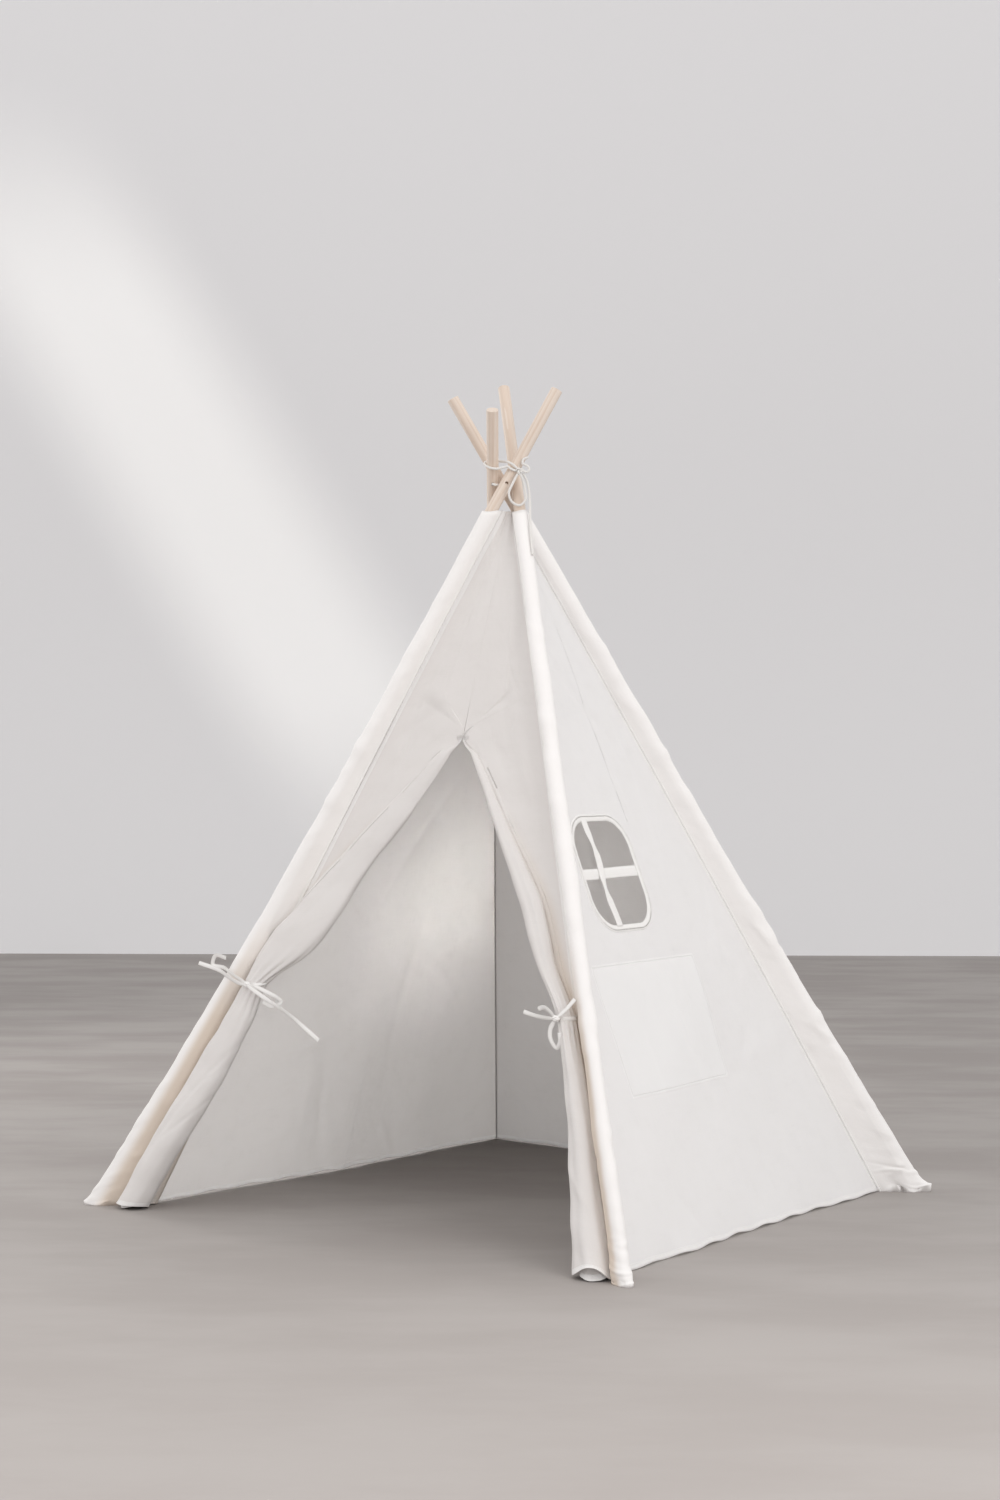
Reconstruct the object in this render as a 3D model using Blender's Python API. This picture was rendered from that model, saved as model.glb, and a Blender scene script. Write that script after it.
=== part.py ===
"""A children's teepee of four crossed poles and a sewn canvas cover, in metres, +Z up, door towards -Y."""

import math

import bmesh
import bpy
import numpy as np
from mathutils import Matrix, Vector

# Frame of poles
FOOT_SPACING = 1.150
FOOT_SHIFT_X = {"front_left": -0.005, "front_right": 0.045, "back_right": -0.015, "back_left": 0.010}
FOOT_SHIFT_Y = {"front_left": -0.010, "front_right": 0.050, "back_right": -0.010, "back_left": 0.012}
CROSSING_HEIGHT = 1.440
CROSSING_LEAN_X = -0.035
CROSSING_LEAN_Y = -0.038
CROSSING_GAP = 0.0005
POLE_DIAMETER = 0.024
POLE_END_CHAMFER = 0.001
POLE_REACH = {"front_left": 0.216, "front_right": 0.247, "back_right": 0.205, "back_left": 0.162}
SPLIT_HEIGHT = 0.700
FERRULE_LENGTH = 0.080
FERRULE_WALL = 0.0008
CORD_HOLE_DIAMETER = 0.0066

# Canvas
CANVAS_DROP = 0.055
CLOTH = 0.0022
SLEEVE_CLOTH = 0.0011
SLEEVE_SLACK = 0.0006
SLEEVE_FLOOR = 0.004
SLEEVE_OPENING_ANGLE = 52.0
SLEEVE_RING_SHARES = (0.0, 0.03, 0.08, 0.16, 0.28, 0.42, 0.58, 0.76, 1.0)
SEAM_TIP_WIDTH = 0.0028
SEAM_DEPTH_TOP = 0.0205
SEAM_DEPTH_FOOT = {"front_left": 0.070, "front_right": 0.048, "back_right": 0.070, "back_left": 0.060}
SEAM_DEPTH_POWER = 1.5
SEAM_TUCK = 0.004
TOE_HEIGHT = 0.90
TOE = {"front_left": 0.045, "front_right": 0.018, "back_right": 0.014, "back_left": 0.018}
HEM_HEIGHT = 0.0014
SEAM_CLEARANCE = 0.0018
SEAM_CLEARANCE_TOP = 0.0070
SEAM_SPREAD = 0.110
BILLOW = 0.010
FOLD_DEPTH = 0.006
FOLD_SHIFT_SHARE = 0.08

# Door
DOOR_HEIGHT = 0.930
DOOR_SPLIT_SHARE = 0.500
FLAP_TOP_DROP = 0.018
FLAP_CLOTH = 0.0018
DOOR_SEAM_CLEARANCE = 0.0026
FLAP_NECK_ALONG_SHARE = 0.25
FLAP_NECK_RISE_SHARE = 0.5
FLAP_ROLL_START = 215.0
FLAP_ROLL_END = -100.0

# Window
WINDOW_WIDTH = 0.195
WINDOW_RISE = 0.196
WINDOW_CORNER = 0.055
WINDOW_HEIGHT = 0.669
WINDOW_FROM_MIDDLE = -0.101
WINDOW_TAPE = 0.020
WINDOW_TAPE_THICKNESS = 0.0014
WINDOW_TAPE_CLEARANCE = 0.0008
WINDOW_TAPE_WAVE = 0.004
BINDING_WIDTH = 0.012
BINDING_THICKNESS = 0.0044
BAR_CROSSING_FROM_MIDDLE = -0.036
BAR_CROSSING_RISE = 0.0

# Pocket on the inner side of the right panel
POCKET_WIDTH = 0.375
POCKET_BOTTOM = 0.270
POCKET_TOP = 0.505
POCKET_FROM_MIDDLE = -0.090
POCKET_CLOTH = 0.0014
POCKET_GAPE = 0.030

# Ties and cord
TIE_WIDTH = 0.008
TIE_THICKNESS = 0.0012
TIE_CLEARANCE = 0.0015
TIE_HEIGHT_SHARES = {"left": 0.4731, "right": 0.4516}
TIE_REACH = 0.100
TIE_PINCH = 0.018
TIE_KNOT = 0.012
TIE_KNOT_ANGLE = {"left": 90.0, "right": 80.0}
CORD_DIAMETER = 0.005
CORD_POINT_SPACING = 0.0085
CORD_KNOT = 0.015
CORD_KNOT_PLACE_SHARES = (1.9542, -0.4708, 0.9958)

# Fits
GAP = 0.0003
CUT_OVERRUN = 0.010

CANVAS_TOP = CROSSING_HEIGHT - CANVAS_DROP

CORNERS = ("front_left", "front_right", "back_right", "back_left")
CORNER_SIDE_SHARES = {
    "front_left": (-1.0, -1.0),
    "front_right": (1.0, -1.0),
    "back_right": (1.0, 1.0),
    "back_left": (-1.0, 1.0),
}
PANEL_ENDS = {
    "front_panel": ("front_left", "front_right"),
    "right_panel": ("front_right", "back_right"),
    "back_panel": ("back_right", "back_left"),
    "left_panel": ("back_left", "front_left"),
}

# Each door flap's roll, from the hem up: height, the place of its groove as a share of the panel's
# width from the flap's own seam, the roll's middle from that groove, its half width along the front,
# its middle's distance outside the front and its half depth. All but the groove are shares of the
# door's height.
FLAP_ROLL_SHARES = {
    "left": (
        (0.0015, 0.012, -0.0122, 0.0344, 0.0602, 0.0323),
        (0.1290, 0.012, -0.0024, 0.0398, 0.0591, 0.0323),
        (0.2710, 0.012, 0.0086, 0.0441, 0.0484, 0.0258),
        (0.4065, 0.012, 0.0120, 0.0355, 0.0409, 0.0215),
        (0.4731, 0.012, 0.0094, 0.0280, 0.0376, 0.0172),
        (0.5376, 0.012, 0.0310, 0.0554, 0.0344, 0.0194),
        (0.6022, 0.012, 0.0429, 0.0559, 0.0301, 0.0194),
        (0.6989, 0.050, 0.0352, 0.0333, 0.0140, 0.0151),
        (0.8333, 0.180, 0.0235, 0.0189, 0.0097, 0.0108),
        (0.9247, 0.308, 0.0148, 0.0097, 0.0043, 0.0075),
        (0.9806, 0.410, 0.0118, 0.0065, 0.0011, 0.0054),
    ),
    "right": (
        (0.0015, 0.012, 0.0125, 0.0333, 0.0333, 0.0344),
        (0.1290, 0.012, 0.0126, 0.0269, 0.0258, 0.0280),
        (0.2710, 0.012, 0.0097, 0.0199, 0.0194, 0.0237),
        (0.4065, 0.013, 0.0111, 0.0172, 0.0161, 0.0204),
        (0.4516, 0.013, 0.0137, 0.0161, 0.0151, 0.0194),
        (0.5376, 0.038, 0.0274, 0.0194, 0.0129, 0.0183),
        (0.6882, 0.083, 0.0313, 0.0242, 0.0129, 0.0172),
        (0.7957, 0.180, 0.0224, 0.0167, 0.0086, 0.0118),
        (0.9301, 0.330, 0.0166, 0.0091, 0.0043, 0.0075),
        (0.9806, 0.412, 0.0131, 0.0065, 0.0011, 0.0054),
    ),
}

# The middle lines of the pieces of the top cord, from the middle of the crossing, in pole diameters.
CORD_ROUTE_SHARES = {
    "cord_wrap": (
        (1.7208, -0.7000, 1.0125),
        (1.4333, -0.9333, 1.1583),
        (1.1708, -0.9792, 1.3542),
        (0.8833, -1.3500, 1.2708),
        (0.5208, -1.7000, 1.1667),
        (0.0375, -1.9042, 1.2500),
        (-0.6833, -1.8625, 1.6042),
        (-0.9750, -1.3875, 1.8542),
        (-0.9917, -0.9167, 2.0125),
        (-0.6292, -0.5667, 2.0500),
        (-0.0917, -0.5583, 1.9583),
        (0.5250, -0.8083, 1.8542),
        (1.0750, -0.9250, 1.7667),
        (1.5167, -0.8250, 1.5375),
        (1.7958, -0.6333, 1.2333),
    ),
    "cord_lacing": (
        (-0.7792, -0.6583, 0.0000),
        (-0.5792, -0.8958, 0.0000),
        (-0.3667, -1.1458, 0.0000),
        (-0.2083, -1.3125, -0.0417),
        (-0.0417, -1.2500, -0.0833),
        (-0.0083, -0.9167, -0.0833),
        (-0.0167, -0.5000, -0.0417),
        (0.0000, -0.1667, 0.0000),
        (0.1042, 0.1417, 0.0000),
        (0.2292, 0.3083, 0.0000),
        (0.4167, 0.5625, 0.0000),
        (0.6083, 0.8208, 0.0000),
    ),
    "cord_small_loop": (
        (2.2417, -0.3083, 0.9875),
        (2.5000, -0.1250, 0.8958),
        (2.6042, 0.0208, 1.1250),
        (2.4500, -0.1000, 1.4417),
        (2.1625, -0.3042, 1.6125),
        (2.1625, -0.2250, 1.9542),
        (2.4542, 0.0667, 2.1542),
    ),
    "cord_large_loop": (
        (1.8667, -0.6292, 0.7208),
        (1.6375, -0.9750, -0.0750),
        (1.4458, -1.2417, -0.9625),
        (1.6417, -1.0292, -1.6417),
        (2.0792, -0.5625, -1.8833),
        (2.3750, -0.2125, -1.4792),
        (2.2958, -0.1708, -0.5083),
        (2.1542, -0.3125, 0.2833),
        (2.0708, -0.4542, 0.6875),
    ),
    "cord_tail": (
        (2.1000, -0.2000, 0.8125),
        (2.3208, 0.0125, 0.2583),
        (2.5042, 0.1083, -0.5833),
        (2.7542, -0.0667, -1.8667),
        (3.0333, -0.3750, -2.9958),
        (3.5750, -0.9542, -4.4875),
        (4.2500, -1.5333, -6.2208),
    ),
}

# Each tape of a bow, from its knot: away from the flap's own seam, outwards and up, as shares of
# the bow's size.
TIE_ROUTE_SHARES = {
    "left": {
        "upper_loop": (
            (-0.066, -0.010, 0.032),
            (-0.340, 0.000, 0.160),
            (-0.610, 0.000, 0.300),
            (-0.920, 0.000, 0.360),
            (-0.850, 0.010, 0.520),
            (-0.550, 0.010, 0.500),
        ),
        "upper_tail": (
            (-0.054, 0.036, 0.006),
            (-0.340, 0.070, 0.090),
            (-0.635, 0.060, 0.230),
            (-1.235, 0.060, 0.370),
        ),
        "lower_loop": (
            (0.062, -0.010, -0.012),
            (0.280, 0.010, -0.040),
            (0.470, 0.010, -0.095),
            (0.900, 0.000, -0.300),
            (0.690, 0.010, -0.380),
            (0.430, 0.010, -0.320),
        ),
        "lower_tail": (
            (0.054, 0.036, -0.010),
            (0.550, 0.080, -0.230),
            (1.090, 0.060, -0.480),
            (1.920, 0.060, -0.960),
        ),
    },
    "right": {
        "upper_loop": (
            (0.050, 0.003, 0.047),
            (0.150, 0.010, 0.140),
            (0.260, 0.010, 0.190),
            (0.380, 0.010, 0.150),
        ),
        "upper_tail": (
            (0.054, 0.036, 0.002),
            (0.350, 0.050, 0.020),
            (0.680, 0.040, 0.085),
        ),
        "lower_loop": (
            (0.038, 0.008, -0.060),
            (0.100, 0.020, -0.180),
            (0.105, 0.020, -0.350),
            (-0.030, 0.010, -0.520),
            (-0.110, 0.020, -0.400),
            (-0.100, 0.020, -0.240),
        ),
        "seam_strap": (
            (-0.053, -0.017, 0.050),
            (-0.190, -0.060, 0.180),
            (-0.320, -0.140, 0.360),
        ),
    },
}


def material(name, colour, roughness, metallic=0.0):
    made = bpy.data.materials.new(name)
    made.use_nodes = True
    shader = made.node_tree.nodes["Principled BSDF"]
    shader.inputs["Base Color"].default_value = (*colour, 1.0)
    shader.inputs["Roughness"].default_value = roughness
    shader.inputs["Metallic"].default_value = metallic
    return made


def unit(vector):
    return vector / np.linalg.norm(vector)


def foot_place(corner):
    """Where a pole's middle line meets the floor, before the origin is moved to the middle."""
    side = CORNER_SIDE_SHARES[corner]
    square = np.array([side[0], side[1], 0.0]) * FOOT_SPACING / 2
    return square + np.array([FOOT_SHIFT_X[corner], FOOT_SHIFT_Y[corner], 0.0])


def outward(corner):
    """The level direction from under the crossing to a pole's foot."""
    return unit(foot_place(corner) - np.array([CROSSING_LEAN_X, CROSSING_LEAN_Y, 0.0]))


def sideways(corner):
    """The level direction square to outward, anticlockwise seen from above."""
    out = outward(corner)
    return np.array([-out[1], out[0], 0.0])


def smooth_through(places, values, wanted):
    """A cubic through each value, with its slope at a place taken from the values on both sides."""
    slopes = np.gradient(values, places)
    at = np.clip(np.searchsorted(places, wanted) - 1, 0, len(places) - 2)
    span = places[at + 1] - places[at]
    part = np.clip((wanted - places[at]) / span, 0.0, 1.0)
    return (
        (2 * part**3 - 3 * part**2 + 1) * values[at]
        + (part**3 - 2 * part**2 + part) * span * slopes[at]
        + (3 * part**2 - 2 * part**3) * values[at + 1]
        + (part**3 - part**2) * span * slopes[at + 1]
    )


def sleeve_outline(corner, height, inner):
    """A level slice of a sleeve: round the pole on the outside, drawn out to the seam on the inside.

    Each point is a distance inwards and a distance sideways from the pole's middle line.
    """
    pole_radius = POLE_DIAMETER / 2
    radius = pole_radius + GAP + FERRULE_WALL + SLEEVE_SLACK
    seam = seam_depth(corner, height) - SEAM_TUCK
    tip = GAP
    if not inner:
        radius += SLEEVE_CLOTH
        seam = seam_depth(corner, height)
        tip = SEAM_TIP_WIDTH / 2
    start = max(math.radians(SLEEVE_OPENING_ANGLE), math.acos(radius / seam))
    turns = np.linspace(start, 2 * math.pi - start, 15)
    inwards = radius * np.cos(turns) / math.cos(LEAN[corner])
    loose = TOE[corner] * max(0.0, 1.0 - height / TOE_HEIGHT) ** 2
    inwards += loose * np.minimum(0.0, np.cos(turns))
    across = radius * np.sin(turns)
    return np.vstack([np.column_stack([inwards, across]), [[seam, -tip], [seam, tip]]])


def seam_depth(corner, height):
    """How far inside a pole's middle line its sleeve is sewn to the panels, straight between rings."""
    shares = np.array(SLEEVE_RING_SHARES)
    depths = SEAM_DEPTH_TOP + (SEAM_DEPTH_FOOT[corner] - SEAM_DEPTH_TOP) * (1 - shares) ** SEAM_DEPTH_POWER
    return float(np.interp(height / CANVAS_TOP, shares, depths))


def crossing_place(corner):
    """A pole's point at the crossing, where it turns, before the origin is moved to the middle."""
    middle = np.array([CROSSING_LEAN_X, CROSSING_LEAN_Y, CROSSING_HEIGHT])
    return middle + sideways(corner) * (POLE_DIAMETER + CROSSING_GAP)


def pole_lean(corner):
    rise = crossing_place(corner) - foot_place(corner)
    return math.atan2(np.linalg.norm(rise[:2]), rise[2])


LEAN = {corner: pole_lean(corner) for corner in CORNERS}


def middle_of_feet():
    """The middle of the box round the four sleeve feet."""
    feet = []
    for corner in CORNERS:
        for inwards, across in sleeve_outline(corner, 0.0, False):
            feet.append(foot_place(corner) - outward(corner) * inwards + sideways(corner) * across)
    feet = np.array(feet)
    return (feet.min(axis=0) + feet.max(axis=0)) / 2


MIDDLE = middle_of_feet()
FOOT = {corner: foot_place(corner) - MIDDLE for corner in CORNERS}
HINGE = {corner: crossing_place(corner) - MIDDLE for corner in CORNERS}
CROSSING = np.array([CROSSING_LEAN_X, CROSSING_LEAN_Y, CROSSING_HEIGHT]) - MIDDLE


def on_pole(corner, height):
    """The point of a pole's middle line at a height."""
    return FOOT[corner] + (HINGE[corner] - FOOT[corner]) * height / CROSSING_HEIGHT


def on_seam(corner, height):
    return on_pole(corner, height) - outward(corner) * seam_depth(corner, height)


def panel_width(panel, height):
    start, end = PANEL_ENDS[panel]
    return np.linalg.norm(on_seam(end, height) - on_seam(start, height))


def panel_normal(panel, height):
    """Square to the panel at a height, pointing out of the tent."""
    start, end = PANEL_ENDS[panel]
    across = on_seam(end, height) - on_seam(start, height)
    middle = [(on_seam(start, h) + on_seam(end, h)) / 2 for h in (0.0, CANVAS_TOP)]
    return unit(np.cross(across, middle[1] - middle[0]))


def panel_level(panel, height):
    """The level direction out of the tent, square to a panel's line along the floor."""
    across = panel_normal(panel, height) * np.array([1.0, 1.0, 0.0])
    return unit(across)


def on_panel(panel, share, height, out=0.0):
    """A point of a panel: a share of the way along it, at a height, and a level distance outside it."""
    start, end = PANEL_ENDS[panel]
    flat = on_seam(start, height) * (1 - share) + on_seam(end, height) * share
    return flat + panel_level(panel, height) * out


def hinge_of(corner):
    """An empty at the crossing that carries everything that folds with one pole."""
    name = "hinge_" + corner
    if name in bpy.data.objects:
        return bpy.data.objects[name]
    empty = bpy.data.objects.new(name, None)
    bpy.context.scene.collection.objects.link(empty)
    empty.location = CROSSING if corner == "crown" else HINGE[corner]
    return empty


def add_object(name, data, finish, carrier):
    made = bpy.data.objects.new(name, data)
    bpy.context.scene.collection.objects.link(made)
    data.materials.append(finish)
    made.parent = hinge_of(carrier)
    return made


def add_mesh(name, points, faces, finish, carrier, crease=40.0):
    """A mesh object from points in world metres, hung on its carrier."""
    data = bpy.data.meshes.new(name)
    local = np.array(points) - np.array(hinge_of(carrier).location)
    data.from_pydata([tuple(point) for point in local], [], faces)
    data.update()
    data.shade_smooth()
    data.set_sharp_from_angle(angle=math.radians(crease))
    return add_object(name, data, finish, carrier)


def grid_faces(rows, columns, first=0):
    """Quads between rows of points, row after row."""
    faces = []
    for row in range(rows - 1):
        for column in range(columns - 1):
            corner = first + row * columns + column
            faces.append((corner, corner + 1, corner + columns + 1, corner + columns))
    return faces


def thicken(made, thickness):
    solid = made.modifiers.new("Thickness", "SOLIDIFY")
    solid.thickness = thickness
    solid.offset = 0.0
    solid.use_even_offset = True
    return solid


def cut(made, cutter):
    boolean = made.modifiers.new("Cut", "BOOLEAN")
    boolean.operation = "DIFFERENCE"
    boolean.object = cutter
    cutter.hide_render = True
    cutter.display_type = "WIRE"


def along_pole(corner, start, end):
    """The matrix that stands an upright piece along a pole between two distances from the crossing."""
    direction = unit(HINGE[corner] - FOOT[corner])
    turn = Vector((0, 0, 1)).rotation_difference(Vector(direction)).to_matrix().to_4x4()
    return Matrix.Translation(Vector(direction * (start + end) / 2)) @ turn


def add_rod(name, corner, start, end, radius, finish):
    """A round rod on a pole's line, between two distances from the crossing, upwards positive."""
    shape = bmesh.new()
    bmesh.ops.create_cone(
        shape, cap_ends=True, segments=24, radius1=radius, radius2=radius, depth=end - start
    )
    data = bpy.data.meshes.new(name)
    shape.to_mesh(data)
    shape.free()
    data.shade_smooth()
    data.set_sharp_from_angle(angle=math.radians(40.0))
    rod = add_object(name, data, finish, corner)
    rod.matrix_local = along_pole(corner, start, end)
    return rod


def pole_bottom(corner):
    """Distance from the crossing down to the square end of a pole, just above its sleeve's floor."""
    lowest = SLEEVE_FLOOR + GAP + POLE_DIAMETER / 2 * math.sin(LEAN[corner])
    return -(CROSSING_HEIGHT - lowest) / math.cos(LEAN[corner])


def split_distance(corner):
    return -(CROSSING_HEIGHT - SPLIT_HEIGHT) / math.cos(LEAN[corner])


def chamfer_ends(rod):
    bevel = rod.modifiers.new("Chamfer", "BEVEL")
    bevel.width = POLE_END_CHAMFER
    bevel.segments = 1
    bevel.limit_method = "ANGLE"
    bevel.angle_limit = math.radians(60.0)


def add_pole(corner, wood):
    """Both sections of a pole, the upper one drilled for the cord where it turns."""
    radius = POLE_DIAMETER / 2
    middle = split_distance(corner)
    lower = add_rod(f"pole_{corner}_lower", corner, pole_bottom(corner), middle - GAP / 2, radius, wood)
    chamfer_ends(lower)
    upper = add_rod(f"pole_{corner}_upper", corner, middle + GAP / 2, POLE_REACH[corner], radius, wood)
    chamfer_ends(upper)
    drill = add_rod(f"drill_{corner}", corner, 0.0, POLE_DIAMETER * 2, CORD_HOLE_DIAMETER / 2, wood)
    along = outward(corner) if corner == "back_left" else sideways(corner)
    turn = Vector((0, 0, 1)).rotation_difference(Vector(along))
    drill.matrix_local = turn.to_matrix().to_4x4()
    cut(upper, drill)


def add_ferrule(corner, metal):
    """The tube that joins the two sections of a pole."""
    middle = split_distance(corner)
    bore = POLE_DIAMETER / 2 + GAP
    half = FERRULE_LENGTH / 2
    tube = add_rod(f"ferrule_{corner}", corner, middle - half, middle + half, bore + FERRULE_WALL, metal)
    ends = (middle - half - CUT_OVERRUN, middle + half + CUT_OVERRUN)
    cut(tube, add_rod(f"ferrule_bore_{corner}", corner, *ends, bore, metal))


def add_sleeve(corner, canvas):
    """A sewn pocket for one pole, open at the top and closed under the pole's foot."""
    outer_heights = [share * CANVAS_TOP for share in SLEEVE_RING_SHARES]
    inner_heights = [SLEEVE_FLOOR] + [height for height in outer_heights if height > SLEEVE_FLOOR]
    rings = [(height, False) for height in outer_heights]
    rings += [(height, True) for height in reversed(inner_heights)]
    points = []
    for height, inner in rings:
        for inwards, across in sleeve_outline(corner, height, inner):
            place = on_pole(corner, height) - outward(corner) * inwards + sideways(corner) * across
            points.append(place)
    count = len(points) // len(rings)
    faces = []
    for ring in range(len(rings) - 1):
        for step in range(count):
            here = ring * count + step
            beside = ring * count + (step + 1) % count
            faces.append((here, beside, beside + count, here + count))
    faces.append(tuple(reversed(range(count))))
    faces.append(tuple(range(len(points) - count, len(points))))
    made = add_mesh(f"sleeve_{corner}", points, faces, canvas, corner)
    outwards(made)
    return made


def outwards(made):
    """Turns every face of a closed mesh outwards."""
    shape = bmesh.new()
    shape.from_mesh(made.data)
    bmesh.ops.recalc_face_normals(shape, faces=shape.faces)
    shape.to_mesh(made.data)
    shape.free()


def add_sheet(name, places, finish, carrier, thickness=CLOTH):
    """A cloth sheet from a grid of points, made solid."""
    rows, columns = places.shape[:2]
    made = add_mesh(name, places.reshape(-1, 3), grid_faces(rows, columns), finish, carrier)
    thicken(made, thickness)
    return made


def sheet_ends(panel, height):
    """The shares at which a panel stops short of its two seams.

    The crossing poles leave least room at the top of a panel's far seam.
    """
    width = panel_width(panel, height)
    near_top = (CANVAS_TOP - SEAM_SPREAD, CANVAS_TOP)
    far = np.interp(height, near_top, (SEAM_CLEARANCE, SEAM_CLEARANCE_TOP))
    return SEAM_CLEARANCE / width, 1 - far / width


def billow(share, height):
    """How far a hanging panel stands out: nothing at its seams and top, most in the middle of the foot."""
    low = 1.0 - height / CANVAS_TOP
    return math.sin(math.pi * share) * low


def back_folds(share, height):
    low = 1.0 - height / CANVAS_TOP
    return -BILLOW * billow(share, height) + FOLD_DEPTH * low * low * math.sin(3 * math.pi * share) ** 3


def window_calm(share, height):
    """One where the panel may fold, and nothing round the window, which lies flat."""
    near = WINDOW_HEIGHT - WINDOW_RISE / 2 - BINDING_WIDTH
    return float(np.clip((near - height) / (near / 2), 0.0, 1.0)) ** 2


def right_folds(share, height):
    """Three soft folds that fan out from under the window down to the hem."""
    fan = math.sin(3 * math.pi * (share - FOLD_SHIFT_SHARE)) * math.sin(math.pi * share)
    return window_calm(share, height) * (FOLD_DEPTH * fan - BILLOW / 2 * math.sin(math.pi * share))


def add_plain_panel(name, canvas, carrier, folds):
    heights = np.linspace(HEM_HEIGHT, CANVAS_TOP, 15)
    grid = []
    for height in heights:
        row = np.linspace(*sheet_ends(name, height), 15)
        grid.append([on_panel(name, share, height, folds(share, height)) for share in row])
    return add_sheet(name, np.array(grid), canvas, carrier)


def flap_roll(side, height):
    """Of a flap's roll at a height, from its own seam: the groove, the middle, then the half width,
    the distance outside the front and the half depth."""
    table = np.array(FLAP_ROLL_SHARES[side]).T
    groove, *sizes = [float(smooth_through(table[0], column, height / DOOR_HEIGHT)) for column in table[1:]]
    middle, half, stand, depth = np.array(sizes) * DOOR_HEIGHT
    groove *= panel_width("front_panel", height)
    return groove, groove + middle, half, stand, depth


def beside_door(side, height, along, out=0.0):
    """A point of the front, by its distance from the flap's own seam and its distance outside."""
    share = along / panel_width("front_panel", height)
    return on_panel("front_panel", share if side == "left" else 1 - share, height, out)


def roll_place(side, height, angle, proud=0.0):
    """A place round a flap's roll, as distances from the flap's own seam and outside the front.

    At 180 degrees it is on the seam's side, at 90 on the outside and at 0 on the door's side.
    """
    middle, half, stand, depth = flap_roll(side, height)[1:]
    turn = math.radians(angle)
    return middle + (half + proud) * math.cos(turn), stand + (depth + proud) * math.sin(turn)


def roll_angles():
    return np.linspace(FLAP_ROLL_START, FLAP_ROLL_END, 15)


def door_heights(side):
    """The heights that a flap and its half of the front share, close together at the tie."""
    tie = TIE_HEIGHT_SHARES[side] * DOOR_HEIGHT
    below = np.linspace(HEM_HEIGHT, tie - TIE_PINCH, 8)
    above = np.linspace(tie + TIE_PINCH, DOOR_HEIGHT - FLAP_TOP_DROP, 10)
    return [*below, tie - TIE_WIDTH / 2, tie + TIE_WIDTH / 2, *above]


def add_flap(side, canvas, carrier):
    """A door flap, turned outwards into a soft roll that is narrow at the top and full at the foot."""
    grid = []
    for height in door_heights(side):
        groove = flap_roll(side, height)[0]
        row = [roll_place(side, height, angle) for angle in roll_angles()]
        start, rise = row[0]
        neck = groove + (start - groove) * FLAP_NECK_ALONG_SHARE
        row = [(groove, 0.0), (neck, rise * FLAP_NECK_RISE_SHARE), *row]
        row = [beside_door(side, height, along, out) for along, out in row]
        grid.append(row if side == "left" else row[::-1])
    return add_sheet(f"door_flap_{side}", np.array(grid), canvas, carrier, FLAP_CLOTH)


def door_edge(side, height):
    """The share at which the front panel stops beside the door, on one side."""
    if height >= DOOR_HEIGHT:
        return DOOR_SPLIT_SHARE
    reach = DOOR_HEIGHT - FLAP_TOP_DROP
    top = DOOR_SPLIT_SHARE if side == "left" else 1 - DOOR_SPLIT_SHARE
    low = min(height, reach)
    groove = flap_roll(side, low)[0] / panel_width("front_panel", low)
    if height > reach:
        part = (height - reach) / (DOOR_HEIGHT - reach)
        groove += (top - groove) * part
    share = groove - DOOR_SEAM_CLEARANCE / panel_width("front_panel", height)
    return share if side == "left" else 1 - share


def add_front_panel(canvas, carrier):
    """Both halves of the front, sewn together above the door and parted below its top."""
    columns = 5
    points = []
    faces = []
    for side in ("left", "right"):
        first = len(points)
        heights = [*door_heights(side), *np.linspace(DOOR_HEIGHT, CANVAS_TOP, 7)]
        for height in heights:
            start, end = sheet_ends("front_panel", height)
            ends = (start, door_edge("left", height))
            if side == "right":
                ends = (door_edge("right", height), end)
            for share in np.linspace(*ends, columns):
                points.append(on_panel("front_panel", share, height))
        faces += grid_faces(len(heights), columns, first)
    made = add_mesh("front_panel", points, faces, canvas, carrier)
    shape = bmesh.new()
    shape.from_mesh(made.data)
    bmesh.ops.remove_doubles(shape, verts=shape.verts, dist=GAP / 10)
    shape.to_mesh(made.data)
    shape.free()
    thicken(made, CLOTH)


def window_outline(grow):
    """A rounded rectangle, as distances from the window's middle along and up, anticlockwise."""
    half_width = WINDOW_WIDTH / 2
    half_rise = WINDOW_RISE / 2
    points = []
    for quarter in range(4):
        side_x = 1.0 if quarter in (0, 3) else -1.0
        side_y = 1.0 if quarter in (0, 1) else -1.0
        for step in range(9):
            turn = math.pi / 2 * (quarter + step / 8)
            reach = WINDOW_CORNER + grow
            points.append(
                (
                    side_x * (half_width - WINDOW_CORNER) + reach * math.cos(turn),
                    side_y * (half_rise - WINDOW_CORNER) + reach * math.sin(turn),
                )
            )
    return points


def on_right_panel(from_middle, height, out=0.0):
    """A point of the right panel, placed by its distance from the panel's middle line."""
    share = 0.5 + from_middle / panel_width("right_panel", height)
    return on_panel("right_panel", share, height, out)


def in_window(along, up, out=0.0):
    """A point of the flat round the window, a distance along and up from its middle."""
    height = WINDOW_HEIGHT + up
    flat = on_right_panel(WINDOW_FROM_MIDDLE + along, height)
    return flat + panel_normal("right_panel", height) * out


def window_reach(half_length, half_across, across):
    """How far a tape reaches from the window's middle before it meets the rounded edge."""
    beyond = max(0.0, abs(across) - (half_across - WINDOW_CORNER))
    edge = math.sqrt(WINDOW_CORNER**2 - beyond**2)
    return half_length - WINDOW_CORNER + edge - WINDOW_TAPE_CLEARANCE


def window_ring(grow, out):
    return [in_window(along, up, out) for along, up in window_outline(grow)]


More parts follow.
